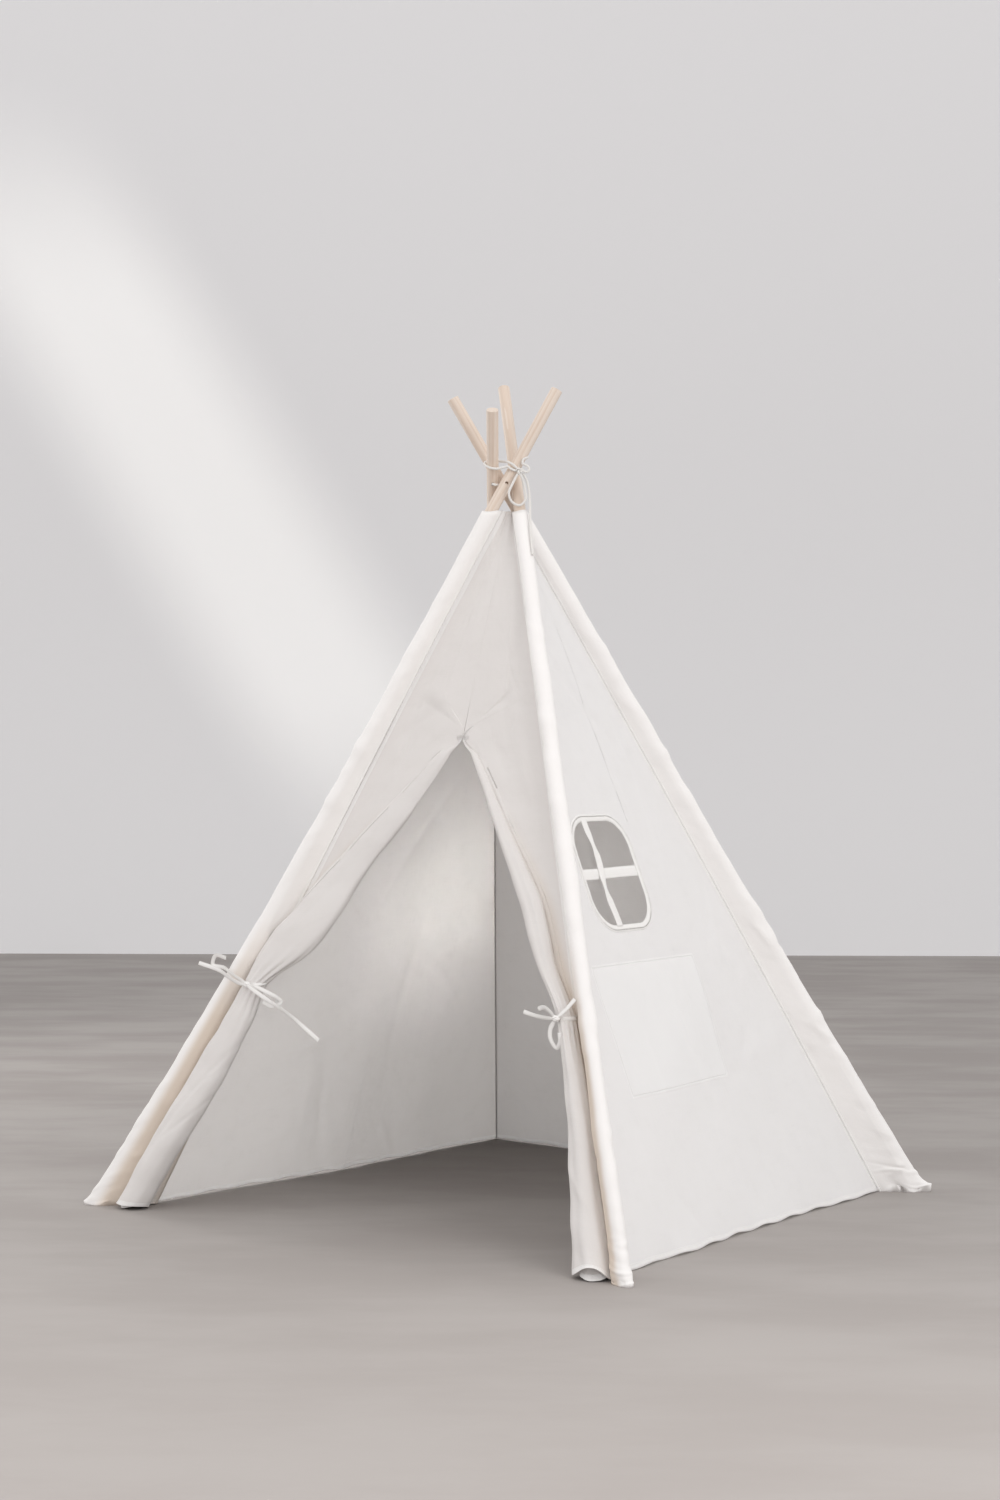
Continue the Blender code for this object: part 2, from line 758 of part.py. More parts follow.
def loop_faces(count, rings, closed):
    """Quads between rings of points; a closed set of rings joins its last ring to its first."""
    faces = []
    for ring in range(rings if closed else rings - 1):
        after = (ring + 1) % rings
        for step in range(count):
            beside = (step + 1) % count
            faces.append(
                (ring * count + step, ring * count + beside, after * count + beside, after * count + step)
            )
    return faces


def add_window(panel, tape, carrier):
    """Cuts the window, binds its edge and crosses it with two tapes."""
    half = BINDING_THICKNESS / 2
    rings = (
        window_ring(0.0, -half)
        + window_ring(0.0, half)
        + window_ring(BINDING_WIDTH, half)
        + window_ring(BINDING_WIDTH, -half)
    )
    count = len(rings) // 4
    binding = add_mesh("window_binding", rings, loop_faces(count, 4, True), tape, carrier)
    outwards(binding)

    hole = window_ring(BINDING_WIDTH + GAP, -CUT_OVERRUN) + window_ring(BINDING_WIDTH + GAP, CUT_OVERRUN)
    faces = loop_faces(count, 2, False)
    faces += [tuple(reversed(range(count))), tuple(range(count, 2 * count))]
    cutter = add_mesh("window_cutter", hole, faces, tape, carrier)
    outwards(cutter)
    cut(panel, cutter)

    half_width = WINDOW_WIDTH / 2
    half_rise = WINDOW_RISE / 2
    rows = []
    for edge in (-0.5, 0.5):
        up = BAR_CROSSING_RISE + edge * WINDOW_TAPE
        reach = window_reach(half_width, half_rise, up)
        places = np.linspace(-reach, reach, 9)
        rows.append([in_window(along, up, -WINDOW_TAPE_THICKNESS) for along in places])
    add_sheet("window_tape_level", np.array(rows), tape, carrier, WINDOW_TAPE_THICKNESS)

    rows = []
    for share in np.linspace(-1, 1, 9):
        middle = BAR_CROSSING_FROM_MIDDLE + WINDOW_TAPE_WAVE * math.sin(1.5 * math.pi * share)
        edges = (middle - WINDOW_TAPE / 2, middle + WINDOW_TAPE / 2)
        ups = [share * window_reach(half_rise, half_width, edge) for edge in edges]
        rows.append([in_window(edge, up, WINDOW_TAPE_THICKNESS) for edge, up in zip(edges, ups)])
    add_sheet("window_tape_upright", np.array(rows), tape, carrier, WINDOW_TAPE_THICKNESS)


def add_pocket(canvas, carrier):
    """A patch pocket on the inner face of the right panel, sewn on three sides, its mouth open."""
    grid = []
    for rise in np.linspace(0.0, 1.0, 7):
        height = POCKET_BOTTOM + (POCKET_TOP - POCKET_BOTTOM) * rise
        row = []
        for share in np.linspace(-1.0, 1.0, 9):
            along = POCKET_FROM_MIDDLE + share * POCKET_WIDTH / 2
            panel_share = 0.5 + along / panel_width("right_panel", height)
            fold = right_folds(panel_share, height)
            flat = (CLOTH + POCKET_CLOTH) / 2 + 2 * GAP
            gape = POCKET_GAPE * (1 - share**2) * math.sin(math.pi / 2 * rise)
            row.append(on_right_panel(along, height, fold - flat - gape))
        grid.append(row)
    add_sheet("inner_pocket", np.array(grid), canvas, carrier, POCKET_CLOTH)


def smooth_route(points, spacing):
    """Points at a spacing along a smooth curve through the route's own points."""
    points = np.array(points, float)
    reach = np.concatenate([[0.0], np.cumsum(np.linalg.norm(np.diff(points, axis=0), axis=1))])
    count = max(4, int(round(reach[-1] / spacing)) + 1)
    wanted = np.linspace(0.0, reach[-1], count)
    return np.column_stack([smooth_through(reach, points[:, axis], wanted) for axis in range(3)])


def add_cord(name, route, finish):
    """A round cord along a route given from the crossing."""
    data = bpy.data.curves.new(name, "CURVE")
    data.dimensions = "3D"
    data.bevel_depth = CORD_DIAMETER / 2
    data.bevel_resolution = 2
    data.use_fill_caps = True
    places = smooth_route(np.array(route) * POLE_DIAMETER, CORD_POINT_SPACING)
    spline = data.splines.new("POLY")
    spline.points.add(len(places) - 1)
    for point, place in zip(spline.points, places):
        point.co = (*place, 1.0)
    spline.use_smooth = True
    return add_object(name, data, finish, "crown")


def add_ball(name, centre, radii, finish, carrier):
    shape = bmesh.new()
    bmesh.ops.create_icosphere(shape, subdivisions=2, radius=1.0)
    points = np.array([vertex.co[:] for vertex in shape.verts]) * radii + centre
    faces = [tuple(vertex.index for vertex in face.verts) for face in shape.faces]
    shape.free()
    return add_mesh(name, points, faces, finish, carrier)


def add_crown(cotton):
    """The cord that ties the poles where they cross, with its knot, two loops and a tail."""
    for name, route in CORD_ROUTE_SHARES.items():
        add_cord(name, route, cotton)
    centre = CROSSING + np.array(CORD_KNOT_PLACE_SHARES) * POLE_DIAMETER
    add_ball("cord_knot", centre, CORD_KNOT / 2, cotton, "crown")


def add_tie(side, cotton, carrier):
    """The tape round one flap's roll, with the knot in front of it and the tapes of its bow."""
    proud = (FLAP_CLOTH + TIE_THICKNESS) / 2 + TIE_CLEARANCE
    height = TIE_HEIGHT_SHARES[side] * DOOR_HEIGHT
    angles = roll_angles()[1:-1]
    if side == "right":
        angles = angles[::-1]
    grid = []
    for edge in (height - TIE_WIDTH / 2, height + TIE_WIDTH / 2):
        row = [roll_place(side, edge, angle, proud) for angle in angles]
        grid.append([beside_door(side, edge, along, out) for along, out in row])
    add_sheet(f"tie_{side}_band", np.array(grid), cotton, carrier, TIE_THICKNESS)

    clear = proud + (TIE_THICKNESS + TIE_KNOT) / 2 + GAP
    knot = roll_place(side, height, TIE_KNOT_ANGLE[side], clear)
    centre = beside_door(side, height, *knot)
    add_ball(f"tie_{side}_knot", centre, TIE_KNOT / 2, cotton, carrier)
    for piece, route in TIE_ROUTE_SHARES[side].items():
        places = []
        for along, out, up in np.array(route) * TIE_REACH:
            places.append(beside_door(side, height + up, knot[0] + along, knot[1] + out))
        places[0] = centre + unit(places[0] - centre) * (TIE_KNOT / 2 + 2 * GAP)
        add_tape(f"tie_{side}_{piece}", places, cotton, carrier)


def add_tape(name, route, finish, carrier):
    """A flat tape along a route, its width held square to the route in the plane of the front."""
    level = panel_level("front_panel", 0.0)
    places = smooth_route(route, TIE_WIDTH)
    rows = []
    for index, place in enumerate(places):
        before = places[max(index - 1, 0)]
        after = places[min(index + 1, len(places) - 1)]
        edge = unit(np.cross(level, unit(after - before))) * TIE_WIDTH / 2
        rows.append([place - edge, place + edge])
    add_sheet(name, np.array(rows), finish, carrier, TIE_THICKNESS)


def build():
    for made in list(bpy.data.objects):
        bpy.data.objects.remove(made)
    canvas = material("canvas", (0.83, 0.81, 0.79), 0.9)
    wood = material("pine", (0.76, 0.60, 0.46), 0.6)
    metal = material("galvanised_steel", (0.62, 0.63, 0.64), 0.35, 1.0)
    cotton = material("cotton_cord", (0.86, 0.84, 0.81), 0.9)
    for corner in CORNERS:
        add_pole(corner, wood)
        add_ferrule(corner, metal)
        add_sleeve(corner, canvas)
    add_front_panel(canvas, "front_left")
    panel = add_plain_panel("right_panel", canvas, "back_right", right_folds)
    add_window(panel, cotton, "back_right")
    add_pocket(canvas, "back_right")
    add_plain_panel("back_panel", canvas, "back_left", back_folds)
    add_plain_panel("left_panel", canvas, "back_left", back_folds)
    add_flap("left", canvas, "front_left")
    add_flap("right", canvas, "front_right")
    add_tie("left", cotton, "front_left")
    add_tie("right", cotton, "front_right")
    add_crown(cotton)


build()
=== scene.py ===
import math

import bpy
import numpy as np
from mathutils import Matrix, Vector


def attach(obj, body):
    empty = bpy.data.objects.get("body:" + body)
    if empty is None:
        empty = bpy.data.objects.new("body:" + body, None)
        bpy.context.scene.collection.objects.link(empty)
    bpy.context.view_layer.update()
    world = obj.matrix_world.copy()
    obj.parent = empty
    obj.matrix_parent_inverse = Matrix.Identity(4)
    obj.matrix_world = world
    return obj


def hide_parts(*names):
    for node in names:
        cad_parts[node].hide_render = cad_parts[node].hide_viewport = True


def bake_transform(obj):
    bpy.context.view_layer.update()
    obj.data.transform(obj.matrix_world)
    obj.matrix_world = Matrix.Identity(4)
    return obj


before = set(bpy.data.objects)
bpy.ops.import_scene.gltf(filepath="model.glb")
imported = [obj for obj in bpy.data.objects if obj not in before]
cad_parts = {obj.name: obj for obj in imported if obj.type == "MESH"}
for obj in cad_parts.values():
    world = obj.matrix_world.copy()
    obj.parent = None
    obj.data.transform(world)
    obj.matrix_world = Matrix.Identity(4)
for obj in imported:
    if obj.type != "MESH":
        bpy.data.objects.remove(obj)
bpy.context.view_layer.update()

print("frame loaded:", len(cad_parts), "nodes")

# The lines that its poles, seams and panels follow, in metres
teepee = {
    "crossing": (-0.047292, -0.030642, 1.440),
    "offset": 0.0245,  # from the crossing to each pole's middle line
    "top": 1.385,  # of the canvas
    "hem": 0.0014,
    "seamTop": 0.0205,  # from a pole's middle line in to its sleeve's seam, at the top
    "seamPower": 1.5,
}
poles = {  # where each stands, how deep its sleeve is at the foot, and how far the sleeve flares out
    "front_left": {"foot": (-0.592292, -0.577642), "seamFoot": 0.070, "toe": 0.045},
    "front_right": {"foot": (0.607708, -0.517642), "seamFoot": 0.048, "toe": 0.018},
    "back_right": {"foot": (0.547708, 0.572358), "seamFoot": 0.070, "toe": 0.014},
    "back_left": {"foot": (-0.577292, 0.594358), "seamFoot": 0.060, "toe": 0.018},
}
panels = {  # from which pole to which, and the share of the way at which its fold line lies
    "front": ("front_left", "front_right", 0.50),
    "right": ("front_right", "back_right", 0.55),
    "back": ("back_right", "back_left", 0.50),
    "left": ("back_left", "front_left", 0.50),
}


# a vector divided by its length
def unit(vector):
    return vector / np.maximum(np.linalg.norm(vector, axis=-1, keepdims=True), 1e-9)


def footOf(corner):
    return np.array([*poles[corner]["foot"], 0.0])


# level direction from under the crossing to a pole's foot
def outOf(corner):
    return unit((footOf(corner) - np.array(teepee["crossing"])) * [1.0, 1.0, 0.0])


# level direction square to that, anticlockwise from above
def besideOf(corner):
    out = outOf(corner)
    return np.array([-out[1], out[0], 0.0])


# crossing + the direction beside the pole x offset
def hingeOf(corner):
    return np.array(teepee["crossing"]) + besideOf(corner) * teepee["offset"]


# foot + (hinge - foot) x height / crossing height
def onPole(corner, height):
    part = np.asarray(height, float)[..., None] / teepee["crossing"][2]
    return footOf(corner) + (hingeOf(corner) - footOf(corner)) * part


# top depth + (foot depth - top depth) x (1 - height / top) ^ power
def seamDepth(corner, height):
    low = np.clip(1 - np.asarray(height, float) / teepee["top"], 0, 1)
    return teepee["seamTop"] + (poles[corner]["seamFoot"] - teepee["seamTop"]) * low ** teepee["seamPower"]


# place on the pole - outward direction x seam depth
def onSeam(corner, height):
    return onPole(corner, height) - outOf(corner) * seamDepth(corner, height)[..., None]


# from one seam of a panel to the other, at a height
def acrossPanel(panel, height):
    start, end, _ = panels[panel]
    return onSeam(end, height) - onSeam(start, height)


# length of the way across
def panelWidth(panel, height):
    return np.linalg.norm(acrossPanel(panel, height), axis=-1)


# the way up a panel's middle line, from the floor to the top hem
def upPanel(panel):
    start, end, _ = panels[panel]
    low, high = [(onSeam(start, z) + onSeam(end, z)) / 2 for z in (0.0, teepee["top"])]
    return high - low


# cross product of the panel's way across at a height and its way up the middle, made unit
def panelNormal(panel, height):
    return unit(np.cross(acrossPanel(panel, height), upPanel(panel)))


# the panel's normal without its rise, made unit
def levelOut(panel, height):
    return unit(panelNormal(panel, height) * [1.0, 1.0, 0.0])


# seam to seam by share, then a level step out of the tent
def onPanel(panel, share, height, out=0.0):
    start, end, _ = panels[panel]
    share = np.asarray(share, float)
    height = np.broadcast_to(np.asarray(height, float), share.shape)
    flat = onSeam(start, height) * (1 - share)[..., None] + onSeam(end, height) * share[..., None]
    return flat + levelOut(panel, height) * np.broadcast_to(out, share.shape)[..., None]


# metres along the slope for a metre of height, at a panel's middle
def slopeOf(panel):
    return float(np.linalg.norm(upPanel(panel)) / teepee["top"])


# three t squared - two t cubed, where t goes from 0 to 1 between two places
def ease(value, low, high):
    part = np.clip((np.asarray(value, float) - low) / (high - low), 0, 1)
    return part * part * (3 - 2 * part)


# e to the power of minus (value / width) squared
def bell(value, width):
    return np.exp(-((value / width) ** 2))


# a cubic through every value, with slopes from the values on both sides
def through(places, values, wanted):
    places, values = np.asarray(places, float), np.asarray(values, float)
    wanted = np.clip(np.asarray(wanted, float), places[0], places[-1])
    slopes = np.gradient(values, places)
    at = np.clip(np.searchsorted(places, wanted) - 1, 0, len(places) - 2)
    span = places[at + 1] - places[at]
    t = (wanted - places[at]) / span
    rise = (2 * t**3 - 3 * t**2 + 1) * values[at] + (3 * t**2 - 2 * t**3) * values[at + 1]
    return rise + ((t**3 - 2 * t**2 + t) * slopes[at] + (t**3 - t**2) * slopes[at + 1]) * span


# sum of sines in turned directions, each with its own length and start; about -1 to 1
def softWaves(x, y, seed, length, count=9):
    chance = np.random.default_rng(seed)
    total = np.zeros(np.broadcast(x, y).shape)
    for _ in range(count):
        turn, phase = chance.uniform(0, math.pi), chance.uniform(0, 2 * math.pi)
        wave = 2 * math.pi / (length * chance.uniform(0.6, 1.7))
        total += np.sin((x * math.cos(turn) + y * math.sin(turn)) * wave + phase)
    return total / math.sqrt(count)


# height x sum of soft ridges on random bent lines in a box, each a bell of the way across its line
# x a bell of the way along it
def creases(x, y, seed, kind):
    chance = np.random.default_rng(seed)
    total = np.zeros(np.broadcast(x, y).shape)
    left, right, low, high = kind["box"]
    for _ in range(kind["count"]):
        middle = chance.uniform(left, right), chance.uniform(low, high)
        turn = kind["lean"] + chance.normal(0, kind["spread"])
        wide, long = kind["width"] * chance.uniform(0.5, 1.6), kind["reach"] * chance.uniform(0.5, 1.5)
        along = (x - middle[0]) * math.cos(turn) + (y - middle[1]) * math.sin(turn)
        across = (y - middle[1]) * math.cos(turn) - (x - middle[0]) * math.sin(turn)
        bend = across + along**2 * chance.uniform(-1.2, 1.2)
        total += chance.uniform(-1, 1) * bell(bend, wide) * bell(along, long)
    return kind["height"] * total


# Meshes from grids of points: every four neighbours make a face
def gridQuads(rows, columns):
    row, column = np.meshgrid(np.arange(rows - 1), np.arange(columns - 1), indexing="ij")
    here = row * columns + column
    return np.stack([here, here + 1, here + 1 + columns, here + columns], axis=-1).reshape(-1, 4)


# two arrays as the two coordinates of one grid
def pairs(first, second):
    return np.stack(np.broadcast_arrays(first, second), axis=-1)


# one mesh object from a grid of points, with cloth coordinates in metres and named marks; its faces
# are the grid's own unless others are given, and turned over where the grid would face inwards
def makePiece(name, points, finish, uv=None, marks=None, quads=None, flip=False):
    points = np.asarray(points, float)
    if quads is None:
        quads = gridQuads(*points.shape[:2])
    quads = np.asarray(quads)[:, ::-1] if flip else np.asarray(quads)
    mesh = bpy.data.meshes.new(name)
    mesh.from_pydata(points.reshape(-1, 3).tolist(), [], quads.tolist())
    mesh.polygons.foreach_set("use_smooth", np.ones(len(mesh.polygons), bool))
    if uv is not None:
        corner = np.empty(len(mesh.loops), np.int64)
        mesh.loops.foreach_get("vertex_index", corner)
        layer = mesh.uv_layers.new(name="cloth")
        layer.data.foreach_set("uv", np.asarray(uv, float).reshape(-1, 2)[corner].ravel())
    for mark, values in (marks or {}).items():
        layer = mesh.attributes.new(mark, "FLOAT", "POINT")
        values = np.broadcast_to(values, points.shape[:-1])
        layer.data.foreach_set("value", values.astype(np.float32).ravel())
    mesh.materials.append(finish)
    mesh.update()
    piece = bpy.data.objects.new(name, mesh)
    bpy.context.scene.collection.objects.link(piece)
    return piece


def thicken(piece, thickness, offset=0.0):
    solid = piece.modifiers.new("cloth", "SOLIDIFY")
    solid.thickness = thickness
    solid.offset = offset
    solid.use_even_offset = False


# the piece's place is baked into its mesh; each point's weight, its share of the way from the fold line to
# the seam, (share - fold line) / (seam - fold line), is worked out but not given to the piece
def foldWith(piece, panel, half, shares):
    corner, spine = panels[panel][half], panels[panel][2]
    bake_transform(piece)
    shares = np.asarray(shares, float).ravel()
    weight = 1 - shares / spine if half == 0 else (shares - spine) / (1 - spine)
    weight = np.clip(weight, 0, 1).astype(np.float32)


# a tube's rings: each point of the line + radius x (cos turn x side + sin turn x up)
def tubeGrid(line, radius, around=14):
    line = np.asarray(line, float)
    tangent = unit(np.gradient(line, axis=0))
    up = np.zeros_like(line)
    start = np.array([0.0, 0.0, 1.0]) if abs(tangent[0, 2]) < 0.9 else np.array([1.0, 0.0, 0.0])
    for index in range(len(line)):  # carried along the line without a twist
        start = unit(start - tangent[index] * (start @ tangent[index]))
        up[index] = start
    side = np.cross(tangent, up)
    turn = np.linspace(0, 2 * math.pi, around + 1)[:, None]
    radius = np.broadcast_to(radius, len(line))[:, None, None]
    return line[:, None] + radius * (np.cos(turn) * side[:, None] + np.sin(turn) * up[:, None])


# how far each point lies along its line, or along its row of a grid
def lengthAlong(line):
    steps = np.linalg.norm(np.diff(line, axis=-2), axis=-1)
    return np.concatenate([0 * steps[..., :1], np.cumsum(steps, axis=-1)], axis=-1)


# points at even steps on a smooth curve through a route's points
def smoothLine(route, step):
    route = np.asarray(route, float)
    reach = lengthAlong(route)
    wanted = np.linspace(0, reach[-1], max(6, int(round(reach[-1] / step)) + 1))
    return np.column_stack([through(reach, route[:, axis], wanted) for axis in range(3)])


# Finishes
class Nodes:
    # short ways to add shader nodes, set them and join them
    def __init__(self, tree):
        self.tree = tree

    def put(self, node, inputs):  # a socket is joined, a value is set
        for key, value in inputs.items():
            if hasattr(value, "links"):
                self.tree.links.new(value, node.inputs[key])
            else:
                node.inputs[key].default_value = value
        return node

    def add(self, kind, inputs=None, **settings):
        node = self.tree.nodes.new(kind)
        for key, value in settings.items():
            setattr(node, key, value)
        return self.put(node, inputs or {})

    def calc(self, operation, first, second=0.0):
        return self.add("ShaderNodeMath", {0: first, 1: second}, operation=operation).outputs[0]

    def plus(self, first, second):
        return self.calc("ADD", first, second)

    def minus(self, first, second):
        return self.calc("SUBTRACT", first, second)

    def times(self, first, second):
        return self.calc("MULTIPLY", first, second)

    def between(self, value, low, high):
        inputs = {0: value, 1: low, 2: high}
        return self.add("ShaderNodeMapRange", inputs, interpolation_type="SMOOTHSTEP").outputs[0]

    def beyond(self, value, low, high):
        return self.minus(1.0, self.between(value, low, high))

    def mixColour(self, share, first, second, blend="MIX"):
        first, second = [part if hasattr(part, "links") else (*part, 1.0) for part in (first, second)]
        inputs = {0: share, 6: first, 7: second}
        return self.add("ShaderNodeMix", inputs, data_type="RGBA", blend_type=blend).outputs[2]

    def noise(self, vector, scale, detail=3.0, rough=0.55):
        inputs = {"Vector": vector, "Scale": scale, "Detail": detail, "Roughness": rough}
        return self.add("ShaderNodeTexNoise", inputs).outputs[0]

    def stretched(self, vector, scale):
        return self.add("ShaderNodeMapping", {"Vector": vector, "Scale": scale}).outputs[0]

    def split(self, vector):
        return self.add("ShaderNodeSeparateXYZ", {"Vector": vector}).outputs

    def mark(self, name):
        return self.add("ShaderNodeAttribute", attribute_name=name).outputs["Fac"]

    def onCloth(self):
        return self.add("ShaderNodeUVMap", uv_map="cloth").outputs[0]

    def onObject(self):
        return self.add("ShaderNodeTexCoord").outputs["Object"]

    def group(self, name, inputs):
        return self.add("ShaderNodeGroup", inputs, node_tree=groups[name]).outputs

    # a Principled shader's colour, plain values and relief
    def dress(self, shader, colour, values, height=None, bump=1.0):
        self.put(shader, {"Base Color": colour, **values})
        if height is not None:
            relief = self.add("ShaderNodeBump", {"Height": height, "Strength": bump, "Distance": 1.0})
            self.put(shader, {"Normal": relief.outputs[0]})


def newGroup(name, takes, gives):
    group = bpy.data.node_groups.new(name, "ShaderNodeTree")
    for way, labels in (("INPUT", takes), ("OUTPUT", gives)):
        for label in labels:
            kind = "NodeSocketVector" if label == "Vector" else "NodeSocketFloat"
            group.interface.new_socket(name=label, in_out=way, socket_type=kind)
    made = Nodes(group)
    return group, made, made.add("NodeGroupInput").outputs, made.add("NodeGroupOutput")


weave = {
    "streak": 700.0,  # threads' uneven places, to the metre across them
    "streakLong": 18.0,
    "mottle": 22.0,
    "threads": 0.35,  # height of the threads against that of the streaks
    "mottleShare": 0.65,
}


# plain weave: sine of the warp x sine of the weft, plus streaks along both threads; tint adds mottle
def clothWeave():
    group, made, source, result = newGroup("clothWeave", ["Vector", "Pitch"], ["Tint", "Height"])
    where, pitch = source[:2]
    across, along, _ = made.split(where)
    turns = made.calc("DIVIDE", 2 * math.pi, pitch)
    warp, weft = [made.calc("SINE", made.times(part, turns)) for part in (across, along)]
    short, long = weave["streak"], weave["streakLong"]
    slubs = made.plus(made.noise(made.stretched(where, (short, long, 1.0)), 1.0, 2.0),
                      made.noise(made.stretched(where, (long, short, 1.0)), 1.0, 2.0))
    mottle = made.times(made.noise(where, weave["mottle"], 4.0, 0.6), weave["mottleShare"])
    tint = made.plus(made.times(slubs, 1 - weave["mottleShare"]), mottle)
    height = made.plus(made.times(made.times(warp, weft), weave["threads"]), slubs)
    made.put(result, {0: tint, 1: height})
    return group


hem = {
    "fold": 0.003,  # from the row of stitches on to the end of the double cloth
    "thread": (0.00035, 0.0008),
    "gapBetween": (-0.55, -0.15),
    "dip": 0.0022,
    "edge": 0.0006,
    "pitch": 0.0042,
    "height": 0.0006,
    "double": (0.925, 0.915, 0.905),
    "doubleShare": 0.8,
    "cotton": (0.95, 0.94, 0.92),
    "cottonShare": 0.5,
}


# a sewn hem: the cloth is double up to a width from its edge, with a row of stitches inside that
def sewnEdge():
    group, made, source, result = newGroup("sewnEdge", ["Gap", "Run", "Stitch at", "Pitch"],
                                           ["Thread", "Height", "Hem"])
    gap, run, at, pitch = source[:4]
    away = made.calc("ABSOLUTE", made.minus(gap, at))
    dash = made.calc("SINE", made.times(made.calc("DIVIDE", run, pitch), 2 * math.pi))
    thread = made.times(made.beyond(away, *hem["thread"]), made.between(dash, *hem["gapBetween"]))
    double = made.beyond(made.minus(gap, made.plus(at, hem["fold"])), -hem["edge"], hem["edge"])
    rise = made.plus(double, made.times(thread, 0.5))
    height = made.minus(rise, made.times(made.beyond(away, 0.0, hem["dip"]), 0.8))
    made.put(result, {0: thread, 1: height, 2: double})
    return group


pine = {
    "rings": 55.0,
    "ringsBend": 0.020,
    "fibres": (900.0, 900.0, 14.0),
    "streaks": (120.0, 120.0, 3.0),
    "knots": (0.56, 0.74),
    "pale": (0.80, 0.69, 0.60),
    "ring": (0.70, 0.565, 0.46),
    "fibre": (0.86, 0.775, 0.70),
    "knot": (0.58, 0.43, 0.33),
    "intoGrain": 0.006,  # the growth rings' middle lies this far from the pole's
    "ringAt": (0.1, 1.0),
    "fibreShare": 0.55,
    "knotShare": 0.35,
    "relief": (0.00012, 0.00018),  # of the rings and of the fibres
}


# pine: growth rings about a long axis, stretched fibres and a few darker streaks
def pineGrain():
    group, made, source, result = newGroup("pineGrain", ["Vector"], ["Rings", "Fibres", "Knots"])
    where = source[0]
    drift = made.add("ShaderNodeTexNoise", {"Vector": made.stretched(where, (14.0, 14.0, 2.2)),
                                            "Scale": 1.0, "Detail": 2.0}).outputs[1]
    pull = made.add("ShaderNodeVectorMath", {0: drift, 3: pine["ringsBend"]}, operation="SCALE").outputs[0]
    bent = made.add("ShaderNodeVectorMath", {0: where, 1: pull}, operation="ADD").outputs[0]
    rings = made.add("ShaderNodeTexWave", {"Vector": made.stretched(bent, (1.0, 1.0, 0.02)),
                                           "Scale": pine["rings"], "Distortion": 1.6, "Detail": 2.0,
                                           "Detail Scale": 2.0},
                     wave_type="RINGS", rings_direction="Z", wave_profile="SAW").outputs[1]
    fibres = made.noise(made.stretched(where, pine["fibres"]), 1.0, 3.0, 0.6)
    streaks = made.noise(made.stretched(where, pine["streaks"]), 1.0, 2.0)
    made.put(result, {0: rings, 1: fibres, 2: made.between(streaks, *pine["knots"])})
    return group


groups = {"weave": clothWeave(), "edge": sewnEdge(), "grain": pineGrain()}


def newFinish(name):
    finish = bpy.data.materials.new(name)
    finish.use_nodes = True
    return finish, Nodes(finish.node_tree), finish.node_tree.nodes["Principled BSDF"]


cottonLook = {
    "threads": 0.00010,
    "rumple": 0.0016,
    "edge": (0.0008, 0.0026),
    "paintedEdgeShadeColour": (0.52, 0.485, 0.45),
    "shadeAt": (0.28, 0.72),
    "rumples": 34.0,
    "tan": (0.70, 0.60, 0.505),  # painted shade, warm-tinted, in the grooves beside the door flaps
    "doubleAt": 0.0015,
    "double": (0.97, 0.965, 0.96),
    "doubleShare": 0.85,
    "doubleRise": 0.0006,
    "pocketSeam": 0.004,  # inside the pocket's outline
    "pocketSeamShare": 0.30,
    "pocketSeamDip": 0.0008,
    "pocketSeamLine": (0.0003, 0.0016),
    "pocketSeamShade": (0.70, 0.685, 0.67),
}
# all but the tape are one canvas: their colours differ as painted light and shade, the front darkest and
# the sleeves palest
cottonKinds = {  # two colours of the weave, how much light comes through, stitches, painted shade at the edges
    "canvas": {"colour": (0.80, 0.77, 0.752), "shade": (0.75, 0.72, 0.698), "glow": 0.2,
               "stitchAt": 0.009, "paintedEdgeShadeShare": 0.05},
    "canvasWall": {"colour": (0.86, 0.83, 0.81), "shade": (0.80, 0.77, 0.75), "glow": 0.8,
                   "stitchAt": 0.009, "paintedEdgeShadeShare": 0.0},
    "canvasSleeve": {"colour": (0.94, 0.925, 0.915), "shade": (0.90, 0.885, 0.87), "glow": 0.0,
                     "stitchAt": 0.006, "paintedEdgeShadeShare": 0.12},
    "canvasWindow": {"colour": (0.88, 0.87, 0.868), "shade": (0.835, 0.825, 0.82), "glow": 0.3,
                     "stitchAt": 0.009, "paintedEdgeShadeShare": 0.4, "pocketBehind": True},
    "cottonTape": {"colour": (0.90, 0.89, 0.875), "shade": (0.84, 0.83, 0.81), "glow": 0.0,
                   "stitchAt": 0.0022, "paintedEdgeShadeShare": 0.2, "pitch": 0.0007, "bump": 0.5},
}
